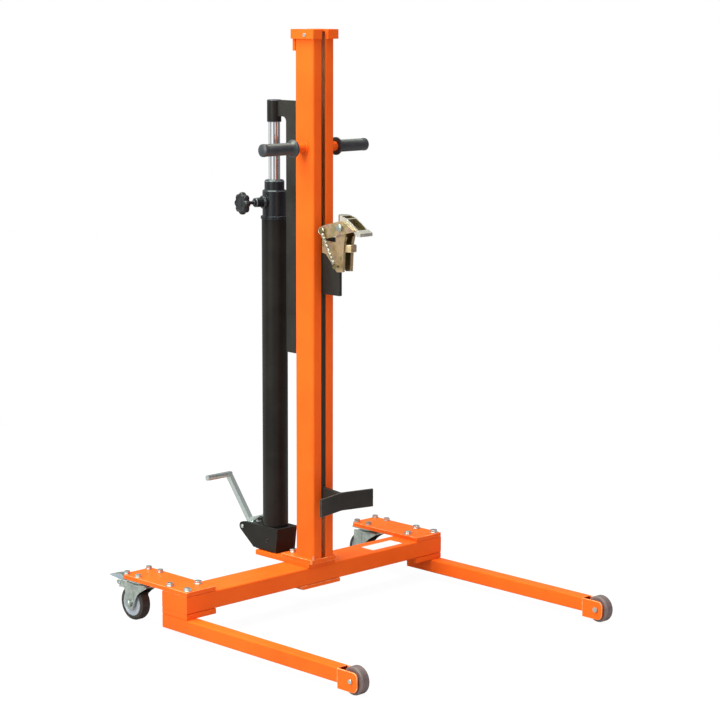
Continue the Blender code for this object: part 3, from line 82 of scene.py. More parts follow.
# %% [markdown]
# ## Writing shader maths as Python
# A finish is a small network of nodes. Drawing each link by hand hides the idea, so one class wraps a
# node's output, and adding or multiplying two of them adds a Math node. A second class holds a network and
# has a single method that adds any node. A third is the network of one material.


# %% Socket, network and material helpers
class Wire:
    """One output socket of a network. Operators on it add Math nodes."""

    def __init__(self, network, socket):
        self.network = network
        self.socket = socket

    def math(self, operation, other):
        return self.network.add("ShaderNodeMath", {"operation": operation}, {0: self, 1: other})

    def __add__(self, other):
        return self.math("ADD", other)

    __radd__ = __add__

    def __mul__(self, other):
        return self.math("MULTIPLY", other)

    __rmul__ = __mul__

    def beside(self, name):
        """Another output of the same node."""
        return Wire(self.network, self.socket.node.outputs[name])


class Network:
    """A tree of shader nodes with one method that adds any node."""

    def __init__(self, tree):
        self.tree = tree

    def add(self, kind, settings=None, inputs=None, out=0):
        node = self.tree.nodes.new(kind)
        for setting, value in (settings or {}).items():
            if setting == "stops":
                ramp = node.color_ramp
                while len(ramp.elements) < len(value):
                    ramp.elements.new(0.5)
                for element, (position, colour) in zip(ramp.elements, value):
                    element.position = position
                    element.color = (*colour, 1)
            else:
                setattr(node, setting, value)
        for socket, value in (inputs or {}).items():
            self.put(node.inputs[socket], value)
        return Wire(self, node.outputs[out])

    def put(self, target, value):
        """Lead a wire to a socket, or set the socket's own number."""
        if isinstance(value, Wire):
            self.tree.links.new(value.socket, target)
        else:
            target.default_value = value

    def ramp(self, factor, *stops):
        return self.add("ShaderNodeValToRGB", {"stops": stops}, {0: factor})

    def mix(self, factor, first, second):
        inputs = {0: factor}
        for socket, colour in ((6, first), (7, second)):
            inputs[socket] = colour if isinstance(colour, Wire) else (*colour, 1)
        return self.add("ShaderNodeMix", {"data_type": "RGBA"}, inputs, 2)


class Finish(Network):
    """One material: a Principled shader whose sockets take numbers, colours or wires."""

    def __init__(self, name, **values):
        self.material = bpy.data.materials.new(name)
        self.material.use_nodes = True
        super().__init__(self.material.node_tree)
        self.shader = self.tree.nodes["Principled BSDF"]
        for socket, value in values.items():
            self.feed(socket.replace("_", " ").title().replace("Ior", "IOR"), value)

    def feed(self, socket, value):
        self.put(self.shader.inputs[socket], value)
        return self

    def where(self, stretch=(1, 1, 1)):
        """Object coordinates, stretched to draw a pattern out along an axis."""
        coordinates = self.add("ShaderNodeTexCoord", out=3)
        return self.add("ShaderNodeMapping", inputs={"Vector": coordinates, "Scale": stretch})

    def noise(self, scale, detail=3.0, roughness=0.5, stretch=(1, 1, 1)):
        return self.add("ShaderNodeTexNoise", None, {"Vector": self.where(stretch), "Scale": scale,
                                                     "Detail": detail, "Roughness": roughness})

    def bump(self, height, distance, strength=1.0):
        inputs = {"Height": height, "Distance": distance, "Strength": strength}
        return self.feed("Normal", self.add("ShaderNodeBump", None, inputs))


print("helpers for materials are ready")

# %% [markdown]
# ## Orange paint
# The stand is sprayed with thick gloss paint. Such paint is never flat: it has a fine orange-peel ripple, a
# slightly darker tone where it ran thin, and a faint clear skin. A thin coat on top of a rougher base gives
# the highlight over a soft colour. The black plates that are handled most get a greyer paint with more
# rubbed spots.


# %% Paint finishes
def orange_paint():
    finish = Finish("orange_gloss_paint", metallic=0.0, coat_weight=0.03, coat_roughness=0.16,
                    specular_ior_level=0.045)
    thin = finish.noise(5.0, 4.0, 0.55)
    tone = finish.ramp(thin, (0.30, (0.78, 0.108, 0.011)), (0.62, (0.84, 0.132, 0.013)))
    speck = finish.noise(420.0, 2.0, 0.5)
    grain = finish.ramp(speck, (0.66, (0, 0, 0)), (0.74, (1, 1, 1)))
    finish.feed("Base Color", finish.mix(grain * 0.16, tone, (0.66, 0.070, 0.008)))
    finish.feed("Roughness", 0.34 + finish.noise(34.0) * 0.12)
    return finish.bump(finish.noise(260.0, 2.0, 0.45), 0.0002, 0.35).material


def black_paint(name, coat, roughness, low, high, worn=0.14):
    finish = Finish(name, metallic=0.0, coat_weight=coat, coat_roughness=0.18, specular_ior_level=0.14)
    dust = finish.noise(9.0, 5.0, 0.6)
    tone = finish.ramp(dust, (0.35, low), (0.70, high))
    rub_and_sheen = finish.ramp(finish.noise(70.0, 5.0, 0.7, (1, 1, 0.25)), (0.66, (0, 0, 0)), (0.80, (1, 1, 1)))
    finish.feed("Base Color", finish.mix(rub_and_sheen * worn, tone, (0.07, 0.065, 0.06)))
    finish.feed("Roughness", roughness + dust * 0.16)
    return finish.bump(finish.noise(300.0, 2.0, 0.5), 0.00018, 0.35).material


def painted_highlight_edge(name, low, high):
    """A narrow line along an edge is painted paler and smoother: a painted highlight."""
    finish = Finish(name, metallic=0.0, coat_weight=0.3, coat_roughness=0.12)
    rub_and_sheen = finish.noise(60.0, 3.0, 0.6)
    finish.feed("Base Color", finish.ramp(rub_and_sheen, (0.35, low), (0.65, high)))
    return finish.feed("Roughness", 0.26 + rub_and_sheen * 0.2).material


orange = orange_paint()
# The three edge finishes are painted highlights for the bevels.
orange_highlight_edge = painted_highlight_edge("highlight_orange_edge", (0.88, 0.22, 0.05), (0.97, 0.52, 0.25))
black_highlight_edge = painted_highlight_edge("highlight_black_edge", (0.045, 0.054, 0.066), (0.17, 0.20, 0.25))
black = black_paint("black_satin_paint", 0.05, 0.34, (0.009, 0.008, 0.007), (0.017, 0.015, 0.013))
gloss_black = black_paint("black_gloss_paint", 0.35, 0.26, (0.007, 0.008, 0.010), (0.013, 0.015, 0.018))
plate_black = black_paint("rubbed_black_plate", 0.05, 0.32, (0.018, 0.017, 0.015), (0.032, 0.030, 0.026),
                          0.45)
plate_highlight_edge = painted_highlight_edge("highlight_plate_edge", (0.030, 0.026, 0.020), (0.085, 0.075, 0.060))
print("paints:", orange.name, black.name, gloss_black.name)

# %% [markdown]
# ## Plated and bare metal
# Small steel parts are zinc plated. Plain zinc is a cool, slightly cloudy grey. The clamp is passivated as
# well, which leaves a yellow film with green and pink where it is thicker, so its colour comes from a ramp
# over a patchy noise. Metal takes its brightness from what it reflects, so roughness matters more than
# colour.


# %% Metal finishes
def moulded(name, low, high, roughness, grain=90.0, peak=0.0003, coat=0.0):
    finish = Finish(name, metallic=0.0, coat_weight=coat, coat_roughness=0.25)
    patch = finish.noise(16.0, 5.0, 0.6)
    finish.feed("Base Color", finish.ramp(patch, (0.30, low), (0.70, high)))
    finish.feed("Roughness", roughness + patch * 0.16)
    return finish.bump(finish.noise(grain, 4.0, 0.6), peak, 0.4).material


def plated(name, low, high, roughness, cloud=14.0, streak=(1, 1, 1), peak=0.0001, spread=0.16):
    finish = Finish(name, metallic=0.92)
    patch = finish.noise(cloud, 4.0, 0.6)
    finish.feed("Base Color", finish.ramp(patch, (0.32, low), (0.66, high)))
    brush = finish.noise(240.0, 3.0, 0.6, streak)
    finish.feed("Roughness", roughness + brush * spread)
    return finish.bump(brush, peak, 0.4).material


def yellow_zinc():
    finish = Finish("yellow_passivated_zinc", metallic=0.85)
    film = finish.noise(42.0, 4.0, 0.6)
    colour = finish.ramp(film, (0.32, (0.31, 0.26, 0.15)), (0.43, (0.48, 0.36, 0.19)),
                         (0.54, (0.58, 0.42, 0.24)), (0.62, (0.50, 0.31, 0.25)), (0.72, (0.31, 0.32, 0.19)))
    scuff = finish.ramp(finish.noise(150.0, 4.0, 0.7), (0.60, (0, 0, 0)), (0.72, (1, 1, 1)))
    finish.feed("Base Color", finish.mix(scuff * 0.3, colour, (0.66, 0.60, 0.46)))
    finish.feed("Roughness", 0.30 + film * 0.18)
    return finish.bump(finish.noise(180.0, 4.0, 0.6), 0.00015, 0.4).material


zinc = plated("bright_zinc_plate", (0.44, 0.48, 0.47), (0.58, 0.61, 0.59), 0.24)
dull_zinc = plated("cloudy_zinc_plate", (0.28, 0.32, 0.31), (0.48, 0.51, 0.49), 0.28, 60.0)
pale_zinc = plated("pale_zinc_forging", (0.68, 0.65, 0.54), (0.92, 0.89, 0.79), 0.22, 40.0)
smooth_zinc = plated("cool_smooth_zinc", (0.46, 0.52, 0.52), (0.56, 0.61, 0.60), 0.22, 5.0, (1, 1, 1),
                     0.00003)
spring_wire = plated("brownish_spring_wire", (0.34, 0.31, 0.24), (0.60, 0.56, 0.46), 0.22, 90.0)
# The shaded yellow zinc is a painted shade for the clamp's insides and the beak's windows.
shaded_amber_inside = plated("shaded_yellow_zinc", (0.15, 0.12, 0.05), (0.28, 0.22, 0.10), 0.38, 40.0)
chrome = plated("hard_chrome", (0.70, 0.71, 0.74), (0.80, 0.81, 0.84), 0.03, 3.0, (1, 1, 12), 0.00001, 0.05)
pale_edge = plated("rubbed_clamp_edge", (0.52, 0.46, 0.31), (0.86, 0.80, 0.64), 0.26, 60.0)
blue_zinc = plated("bluish_zinc_sheet", (0.36, 0.44, 0.53), (0.50, 0.58, 0.66), 0.20, 20.0)
# The pale top zinc is a painted highlight for the brake pedal's deck.
painted_highlight_zinc = moulded("painted_highlight_zinc_top", (0.55, 0.57, 0.57), (0.74, 0.76, 0.76), 0.30)
amber_zinc = yellow_zinc()
print("metals:", zinc.name, dull_zinc.name, pale_zinc.name, chrome.name, amber_zinc.name)

# %% [markdown]
# ## Rubber, plastic and the bare plate
# Grips and treads are matte and pick up dust, the wheel cores and rollers are moulded plastic with a faint
# sheen, and the plate on the beam is smooth pale film that is left blank.


# %% Soft and moulded finishes
grip_rubber = moulded("moulded_black_grip", (0.014, 0.016, 0.019), (0.032, 0.036, 0.042), 0.34,
                      520.0, 0.0007, 0.15)
tread_rubber = moulded("dark_tread_rubber", (0.014, 0.009, 0.007), (0.030, 0.020, 0.016), 0.42)
core_plastic = moulded("pale_core_plastic", (0.26, 0.29, 0.34), (0.42, 0.44, 0.49), 0.34)
roller_nylon = moulded("dark_roller_nylon", (0.095, 0.066, 0.066), (0.180, 0.132, 0.128), 0.40, 60.0)
seal_rubber = moulded("soft_seal_rubber", (0.012, 0.012, 0.012), (0.022, 0.022, 0.022), 0.45)
blank_film = moulded("blank_pale_film", (0.80, 0.80, 0.79), (0.86, 0.86, 0.85), 0.30, 30.0, 0.0001, 0.4)
print("soft finishes:", grip_rubber.name, tread_rubber.name, core_plastic.name)

# %% [markdown]
# ## From a raw solid to a finished piece
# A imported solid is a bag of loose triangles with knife-sharp edges. Real plates have edges that catch the
# light. So a copy of each solid is merged, its flat areas are joined into single faces, and its sharp edges
# get a narrow bevel. Weighted normals then keep the flat faces flat while the bevels shade round.


# %% Soft edges on a copy of a solid
def add_piece(name, bm, materials, body, sharp=40, replaced=()):
    """Turn a mesh into a piece that rides on a body, if one is given, and may stand for solids."""
    mesh = bpy.data.meshes.new(name)
    bm.to_mesh(mesh)
    bm.free()
    for material in materials if isinstance(materials, tuple) else (materials,):
        mesh.materials.append(material)
    mesh.shade_smooth()
    mesh.set_sharp_from_angle(angle=math.radians(sharp))
    piece = bpy.data.objects.new(name, mesh)
    bpy.context.scene.collection.objects.link(piece)
    normals = piece.modifiers.new("Weighted normals", "WEIGHTED_NORMAL")
    normals.keep_sharp = True
    if body:
        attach(piece, body)
    if replaced:
        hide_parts(*replaced)
    return piece


def merged_copy(node):
    """The solid's triangles as one closed mesh with its flat areas joined."""
    bm = bmesh.new()
    bm.from_mesh(frame["nodes"][node].data)
    for face in bm.faces:
        face.material_index = 0
    bmesh.ops.remove_doubles(bm, verts=bm.verts, dist=0.00002)
    bmesh.ops.dissolve_limit(bm, angle_limit=math.radians(0.6), verts=bm.verts, edges=bm.edges, delimit=set())
    return bm


def fold_edges(bm, sharper_than):
    """Edges between two faces that meet at more than an angle in degrees."""
    return [edge for edge in bm.edges if len(edge.link_faces) == 2
            and edge.calc_face_angle(0) > math.radians(sharper_than)]


def bevel(bm, edges, width, segments, slot=-1):
    bmesh.ops.bevel(bm, geom=edges, offset=width, segments=segments, profile=0.5, affect="EDGES",
                    clamp_overlap=True, material=slot)


def soften_edges(bm, width, edge_slot=-1):
    bevel(bm, fold_edges(bm, 38), width, 2, edge_slot)


def round_corners(bm, pick, width):
    """Give the long corners that pick accepts the wide radius of a folded or rolled section."""
    bevel(bm, [edge for edge in fold_edges(bm, 60) if pick(edge.verts[0].co, edge.verts[1].co)], width, 5)


def finish_solid(node, materials, width=0.0008, choose=None, corners=None, corner_width=0.004, edge_slot=-1):
    """Replace a solid by a copy with soft edges. choose tells which material a face takes."""
    bm = merged_copy(node)
    if corners:
        round_corners(bm, corners, corner_width)
    if choose:
        for face in bm.faces:
            face.material_index = int(choose(face.calc_center_median(), face.normal))
    if width:
        soften_edges(bm, width, edge_slot)
    return add_piece(node + "_finished", bm, materials, body_of_node[node],
                     replaced=(node,))


print("each solid gets a copy with soft edges")

# %% [markdown]
# ## The straddling base
# Plates and tubes of the base are cut and welded steel under one coat of paint, and the bolts that hold
# them were added afterwards, so the heads are bare zinc. In the solids each bolt belongs to the plate it
# hangs through, and here the faces above the plate's seat take the zinc.

# %% Base plates, beam and legs
beam_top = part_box("cross_beam")[1].z
end_plate_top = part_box("end_plate_left")[1].z
foot_plate_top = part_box("mast_foot_plate")[1].z

on_face = Vector((0.0005, 0.0005, 0.0005))
long_edge = 0.2


def tube_corner(node):
    """A test for the long edges that lie on two outer faces of a tube."""
    low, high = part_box(node)
    near_low, near_high = low + on_face, high - on_face

    def on_two_faces(first, second):
        ends = (first, second)
        outer = [axis for axis in range(3)
                 if all(end[axis] < near_low[axis] or end[axis] > near_high[axis] for end in ends)]
        return (first - second).length > long_edge and len(outer) == 2

    return on_two_faces


def above_seat(seat):
    """A test for the faces of the bolt heads, which stand above the plate's seat."""
    return lambda centre, normal: centre.z > seat + 0.0001


# The second finish, on the bevels, is a painted highlight.
painted = (orange, orange_highlight_edge)
finish_solid("under_plate", painted, 0.0010, edge_slot=1)
for node in ("cross_beam", "leg_left", "leg_right"):
    finish_solid(node, painted, 0.0008, corners=tube_corner(node), corner_width=0.0030, edge_slot=1)
for node in ("end_plate_left", "end_plate_right", "mast_foot_plate"):
    finish_solid(node, painted, 0.0012, edge_slot=1)
for name, side in sides:
    for which in ("outer", "inner"):
        finish_solid(f"fork_plate_{name}_{which}", painted, 0.0011, edge_slot=1)
for name, side in sides:
    finish_solid("joint_plate_" + name, (orange, zinc), 0.0006, above_seat(end_plate_top))
finish_solid("base_plate", (orange, zinc), 0.0006, above_seat(foot_plate_top))
print("base finished, beam top at", round(beam_top, 4))

# %% [markdown]
# ## Mast, cap and handle stubs
# The two channels face each other across the slots. The faces that look into the mast take a browner orange,
# a painted shade. The cap's side screws are bare.


# %% Mast
# The browner orange for the inside of the mast is a painted shade.
def mast_inside_shade_paint():
    finish = Finish("painted_shade_orange_inside", metallic=0.0)
    shade_streak = finish.noise(12.0, 5.0, 0.65, (1, 1, 0.2))
    finish.feed("Base Color", finish.ramp(shade_streak, (0.3, (0.58, 0.26, 0.10)), (0.7, (0.86, 0.42, 0.16))))
    finish.feed("Roughness", 0.32 + shade_streak * 0.25)
    return finish.bump(finish.noise(200.0), 0.0002, 0.4).material


painted_shade_orange = mast_inside_shade_paint()
wall_inside_x, wall_inside_y = 0.0352, 0.0322
wall_outside_x, wall_outside_y = 0.0393, 0.0363
shortest_corner = 0.1


def inside_mast(centre, normal):
    return abs(centre.x) < wall_inside_x and abs(centre.y - mast_y) < wall_inside_y


def mast_corner(first, second):
    on_corner = all(abs(point.x) > wall_outside_x and abs(point.y - mast_y) > wall_outside_y
                    for point in (first, second))
    return on_corner and abs(first.z - second.z) > shortest_corner


# Faces inside the mast take the painted shade.
for node in ("mast_channel_left", "mast_channel_right"):
    finish_solid(node, (orange, painted_shade_orange), 0.0008, inside_mast, corners=mast_corner, corner_width=0.0050)
cap_half = 0.0495
finish_solid("mast_cap", (orange, zinc), 0.0010, lambda centre, normal: abs(centre.x) > cap_half + 0.0001)

# %% [markdown]
# ## Weld beads
# The stand is welded, and the beads show as small rippled ridges in the corners. A bead is a thin round
# sweep along the joint. A curve with a round bevel gives that at once, and its mesh then takes the paint.
# One corner of the mast's foot has a pale bead, a painted highlight.


# %% Bead helper and beads
def swept(name, points, radius, material, body, cyclic=False, sides_round=3):
    """A round bar along a line of points, made a mesh."""
    curve = bpy.data.curves.new(name + "_line", "CURVE")
    curve.dimensions = "3D"
    curve.bevel_depth = radius
    curve.bevel_resolution = sides_round
    curve.use_fill_caps = not cyclic
    spline = curve.splines.new("POLY")
    spline.points.add(len(points) - 1)
    for point, target in zip(spline.points, points):
        point.co = (*target, 1)
    spline.use_cyclic_u = cyclic
    holder = bpy.data.objects.new(name + "_line", curve)
    bpy.context.scene.collection.objects.link(holder)
    bpy.context.view_layer.update()
    mesh = bpy.data.meshes.new_from_object(holder.evaluated_get(bpy.context.evaluated_depsgraph_get()))
    bpy.data.objects.remove(holder)
    bm = bmesh.new()
    bm.from_mesh(mesh)
    bpy.data.meshes.remove(mesh)
    bmesh.ops.remove_doubles(bm, verts=bm.verts, dist=0.00001)
    bmesh.ops.recalc_face_normals(bm, faces=bm.faces)
    return add_piece(name, bm, material, body)


def rippled(points, spacing, swing):
    """Points along a line with a small regular swing, as a welder's hand leaves them."""
    line = []
    count = 0
    phase = 2.1
    for start, end in zip(points, points[1:]):
        steps = max(1, round((end - start).length / spacing))
        for step in range(steps):
            count += 1
            lift = swing * math.sin(count * phase)
            line.append(start.lerp(end, step / steps) + Vector((0, 0, lift)))
    line.append(points[-1])
    return line


def circle(centre, radius, first, second, count):
    """Points round a centre, from the direction first towards second."""
    points = []
    for step in range(count):
        angle = math.tau * step / count
        points.append(centre + first * (radius * math.cos(angle)) + second * (radius * math.sin(angle)))
    return points


channel_low = foot_plate_top + 0.0003
foot_x, foot_y, bead_end = 0.0405, 0.0375, 0.012
handle_height, stub_weld_x, stub_weld_radius = 1.3225, 0.0412, 0.0150
for name, side in sides:
    line = [place(side * bead_end, -foot_y, channel_low), place(side * foot_x, -foot_y, channel_low),
            place(side * foot_x, foot_y, channel_low), place(side * bead_end, foot_y, channel_low)]
    swept("foot_bead_" + name, rippled(line, 0.004, 0.0003), 0.0021, orange, "frame")
    ring = circle(place(side * stub_weld_x, 0, handle_height), stub_weld_radius, y_way, z_way, 36)
    swept("stub_bead_" + name, ring, 0.0030, orange, "frame", True)
# The pale bead at one corner of the foot is a painted highlight.
highlight_weld_metal = plated("painted_highlight_weld", (0.50, 0.44, 0.34), (0.74, 0.68, 0.56), 0.34, 60.0)
corner = [place(-foot_x - 0.0005, -foot_y - 0.0005, channel_low + 0.001 + 0.0015 * step) for step in range(8)]
swept("corner_weld", corner, 0.0022, highlight_weld_metal, "frame")
print("beads laid round the mast's foot and the handle stubs")

# %% [markdown]
# ## Hand grips
# Each grip is a moulded sleeve with a collar, raised ribs and a domed end. It is a turned form, so a
# profile is drawn once and spun about the handle's axis.


# %% Turned pieces and grips
def turned(profile, centre, steps=48):
    """Spin (radius, distance) points about the X axis through a centre."""
    bm = bmesh.new()
    verts = [bm.verts.new(centre + z_way * radius + x_way * distance) for radius, distance in profile]
    edges = [bm.edges.new(pair) for pair in zip(verts, verts[1:])]
    bmesh.ops.spin(bm, geom=verts + edges, cent=centre, axis=x_way, angle=math.tau, steps=steps,
                   use_merge=True)
    bmesh.ops.remove_doubles(bm, verts=bm.verts, dist=0.000005)
    bmesh.ops.recalc_face_normals(bm, faces=bm.faces)
    return bm


grip_start, grip_end, grip_radius, collar_radius = 0.078, 0.199, 0.0172, 0.0252
stub_radius = 0.0135
rib_count, rib_start, rib_pitch, rib_depth = 17, 0.018, 0.0050, 0.0011
length = grip_end - grip_start
mouth = [(stub_radius + 0.0003, 0.012), (stub_radius + 0.0003, 0.0)]
collar = [(collar_radius - 0.003, 0.0), (collar_radius, 0.0018), (collar_radius, 0.0062),
          (collar_radius - 0.0025, 0.0086), (grip_radius + 0.0026, 0.0104), (grip_radius + 0.0004, 0.0150)]
ribs = []
for rib in range(rib_count):
    base = rib_start + rib * rib_pitch
    ribs += [(grip_radius - rib_depth, base), (grip_radius, base + rib_pitch * 0.25),
             (grip_radius, base + rib_pitch * 0.62), (grip_radius - rib_depth, base + rib_pitch * 0.85)]
dome = [(grip_radius, length - 0.014), (grip_radius + 0.0008, length - 0.010),
        (grip_radius + 0.0004, length - 0.004), (grip_radius - 0.004, length - 0.0004), (0.0, length)]
for name, side in sides:
    profile = [(radius, side * distance) for radius, distance in mouth + collar + ribs + dome]
    bm = turned(profile, place(side * grip_start, 0, handle_height))
    add_piece("grip_" + name, bm, grip_rubber, "frame", replaced=("handle_grip_" + name,))
print("grips", round(length, 3), "long")

# %% [markdown]
# ## Pump, cylinder and ram
# The pump's casting and the tube share a black satin paint. The head, the gland and the valve wear a
# glossier one. Their edges are rounder than those of cut plate. The rod that slides out of the gland is
# ground and chromed, so it stays mirror bright.

# %% Hydraulics
# The second finish of the black pieces, on their bevels, is a painted highlight.
blacks, glossy = (black, black_highlight_edge), (gloss_black, black_highlight_edge)
finish_solid("pump_block", blacks, 0.0016, edge_slot=1)
finish_solid("cylinder_tube", black, 0.0012)
finish_solid("cylinder_head", glossy, 0.0014, edge_slot=1)
finish_solid("gland", glossy, 0.0012, edge_slot=1)
finish_solid("rod_wiper", seal_rubber, 0.0)
finish_solid("valve_fitting", glossy, 0.0010, edge_slot=1)
finish_solid("pedal_pin", zinc, 0.0003)
finish_solid("pump_plunger", black, 0.0005)
finish_solid("foot_pedal", smooth_zinc, 0.0018)
plug_place, plug_radius = place(0, 0.162, 0.173), 0.0048
plug_place.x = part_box("pump_block")[0].x - 0.0002
plug = circle(plug_place, plug_radius, y_way, z_way, 28)
swept("plug_ring", plug, 0.0012, seal_rubber, "frame", True)
finish_solid("ram_rod", chrome, 0.0)
finish_solid("ram_cap", blacks, 0.0006, edge_slot=1)
print("pump, cylinder and ram finished")

# %% [markdown]
# ## Release knob
# The star knob that lets the load down is moulded with eight deep grips and a dished face. Its rings are a
# profile like that of a turned part, but each radius also dips eight times on the way round. The third
# number of a point says how much of the dip it takes.

# %% Knob
knob_low, knob_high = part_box("release_knob")
knob_turn = math.radians(8)
knob_way = Vector((-math.cos(knob_turn), math.sin(knob_turn), 0))
knob_side = z_way.cross(knob_way)
knob_y, knob_out = 0.167, 0.1085
knob_middle = place(0, knob_y, (knob_low.z + knob_high.z) / 2) + knob_way * knob_out
knob_profile = [(0.0058, -0.0042, 0), (0.0058, -0.0128, 0), (0.0110, -0.0128, 0), (0.0118, -0.0092, 0),
                (0.0235, -0.0086, 0.2), (0.0285, -0.0078, 0.8), (0.0310, -0.0055, 1), (0.0319, -0.0015, 1),
                (0.0319, 0.0030, 1), (0.0308, 0.0068, 1), (0.0282, 0.0092, 0.9), (0.0250, 0.0102, 0.6),
                (0.0225, 0.0098, 0.3), (0.0205, 0.0082, 0), (0.0125, 0.0076, 0), (0.0108, 0.0088, 0),
                (0.0060, 0.0094, 0)]
around, grips_round, dip_depth = 96, 8, 0.0052
bm = bmesh.new()
rings = []
for radius, along_axis, share in knob_profile:
    ring = []
    for step in range(around):
        angle = math.tau * step / around
        dip = share * dip_depth * (0.5 - 0.5 * math.cos(grips_round * angle)) ** 1.6
        spoke = knob_side * math.cos(angle) + z_way * math.sin(angle)
        ring.append(bm.verts.new(knob_middle + knob_way * along_axis + spoke * (radius - dip)))
    rings.append(ring)
for first, second in zip(rings, rings[1:]):
    for step in range(around):
        following = (step + 1) % around
        bm.faces.new((first[step], first[following], second[following], second[step]))
bm.faces.new(rings[0])
bm.faces.new(rings[-1])
bmesh.ops.recalc_face_normals(bm, faces=bm.faces)
add_piece("star_knob", bm, gloss_black, "release_knob", 30, ("release_knob",))
print("knob across", round(knob_high.z - knob_low.z, 4))

# %% [markdown]
# ## Carriage and drum rest
# One thick plate carries everything that rises. Handling has rubbed its paint, so it is greyer than the
# pump's. Its cut edges are slightly rounded, and a thin pale line along them is a painted highlight.

# %% Carriage
# The plate's bevels take a painted highlight.
finish_solid("carriage_plate", (plate_black, plate_highlight_edge), 0.0010, edge_slot=1)
finish_solid("drum_rest", (plate_black, plate_highlight_edge), 0.0008, edge_slot=1)
for level in ("lower", "upper"):
    for name, side in sides:
        finish_solid(f"guide_roller_{level}_{name}", dull_zinc, 0.0010)
print("carriage finished")

# %% [markdown]
# ## The clamp
# The body and the lever are pressed from plate and passivated yellow, and the film is rubbed pale on their
# edges. The beak is forged and paler. The pivot is a bolt with bare heads, so faces that stand outside the
# walls take the zinc.

# %% Clamp
lever_outside, wall_inside, flange_inside = 0.0257, 0.0150, 0.0105
bolt_reach, skin, beak_half = 0.0125, 0.0003, 0.0165
pivot = place(0, -0.130, 1.1095)
window_low, window_high = place(0, -0.1920, 0).y - 0.0004, place(0, -0.1275, 0).y + 0.002


def clamp_faces(centre, normal):
    """Bolt heads are bare. The faces that look into the clamp, and the spring's studs, take a painted shade.
    """
    from_pivot = math.hypot(centre.y - pivot.y, centre.z - pivot.z)
    if abs(centre.x) > lever_outside + skin and from_pivot < bolt_reach:
        return 1
    if abs(centre.x) < flange_inside or abs(abs(centre.x) - wall_inside) < skin:
        return 2
    if centre.x < -lever_outside - skin and from_pivot > bolt_reach:
        return 2
    return 0


def beak_faces(centre, normal):
    """The upright walls of the two windows take a painted shade."""
    in_window = abs(centre.x) < beak_half and window_low < centre.y < window_high
    return in_window and abs(normal.z) < 0.2


# The third finish is a painted shade on the faces inside the clamp and on the studs.
clamp_zincs = (amber_zinc, dull_zinc, shaded_amber_inside, pale_edge)
finish_solid("clamp_body", clamp_zincs, 0.0007, clamp_faces, edge_slot=3)
finish_solid("lower_jaw", (amber_zinc, pale_edge), 0.0005, edge_slot=1)
finish_solid("clamp_lever", clamp_zincs, 0.0007, clamp_faces, edge_slot=3)
finish_solid("beak", (pale_zinc, shaded_amber_inside), 0.0009, beak_faces)
bolt_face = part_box("clamp_body")[0].x
bolt_dome = [(0.0, 0.0012), (0.0085, 0.0012), (0.0085, 0.0), (0.0072, -0.0009), (0.0040, -0.0016),
             (0.0, -0.0018)]
head_middle = Vector((-lever_outside - 0.0063, pivot.y, pivot.z))
add_piece("pivot_dome", turned(bolt_dome, head_middle, 32), dull_zinc, "carriage")
print("clamp finished, outermost stud at", round(bolt_face, 4))

# %% [markdown]
# ## The clamp's spring
# A tension spring is close wound: its turns touch, with an open hook at each end. On the real clamp it
# stretches as the lever swings. Here it is laid once from the lever's pin to the stud on the body, and rides
# on no body.

# %% Spring
spring_x = -0.0325
pin_place = place(spring_x, -0.0605, 1.0965)
stud_place = place(spring_x, -0.1160, 1.0015)
spring_line = (stud_place - pin_place).normalized()
spring_start = pin_place + spring_line * 0.0100
spring_end = stud_place - spring_line * 0.0062
coil_radius, wire_radius = 0.0045, 0.0014
turns = round((spring_end - spring_start).length / (wire_radius * 2.35))
steps_round = 12
beside = spring_line.cross(x_way)
coil = []
for step in range(turns * steps_round + 1):
    share = step / (turns * steps_round)
    angle = math.tau * turns * share
    centre = spring_start.lerp(spring_end, share)
    coil.append(centre + (x_way * math.cos(angle) + beside * math.sin(angle)) * coil_radius)


def hook(centre, radius, first, turn, count):
    """Points of an open loop round a pin, in the plane across the X axis."""
    points = []
    for step in range(count):
        angle = first + turn * step / (count - 1)
        points.append(centre + Vector((0, math.cos(angle), math.sin(angle))) * radius)
    return points


toward = math.atan2(spring_line.z, spring_line.y)
pin_hook, stud_hook = 0.0094, 0.0066
upper_hook = hook(pin_place, pin_hook, toward + 5.4, -5.4, 19)
lower_hook = hook(stud_place, stud_hook, toward + math.pi, -4.4, 15)
wire_line = upper_hook + coil + lower_hook
spring = swept("spring_coil", wire_line, wire_radius, spring_wire, None, False, 1)
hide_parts("clamp_spring")
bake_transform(spring)
print("spring has", turns, "turns")

# %% [markdown]
# ## Wheels
# The front rollers are solid nylon on an axle bolt. Each swivel caster has a pressed and plated fork, a
# pale core and a dark tread. Only the left caster has a brake pedal, a pressed sheet with a flat deck and
# two bluish cheeks.


# %% Rollers and casters
def block(low, high):
    """A box between two corners."""
    bm = bmesh.new()
    bmesh.ops.create_cube(bm, size=1.0)
    bmesh.ops.scale(bm, verts=bm.verts, vec=high - low)
    bmesh.ops.translate(bm, verts=bm.verts, vec=(low + high) / 2)
    return bm


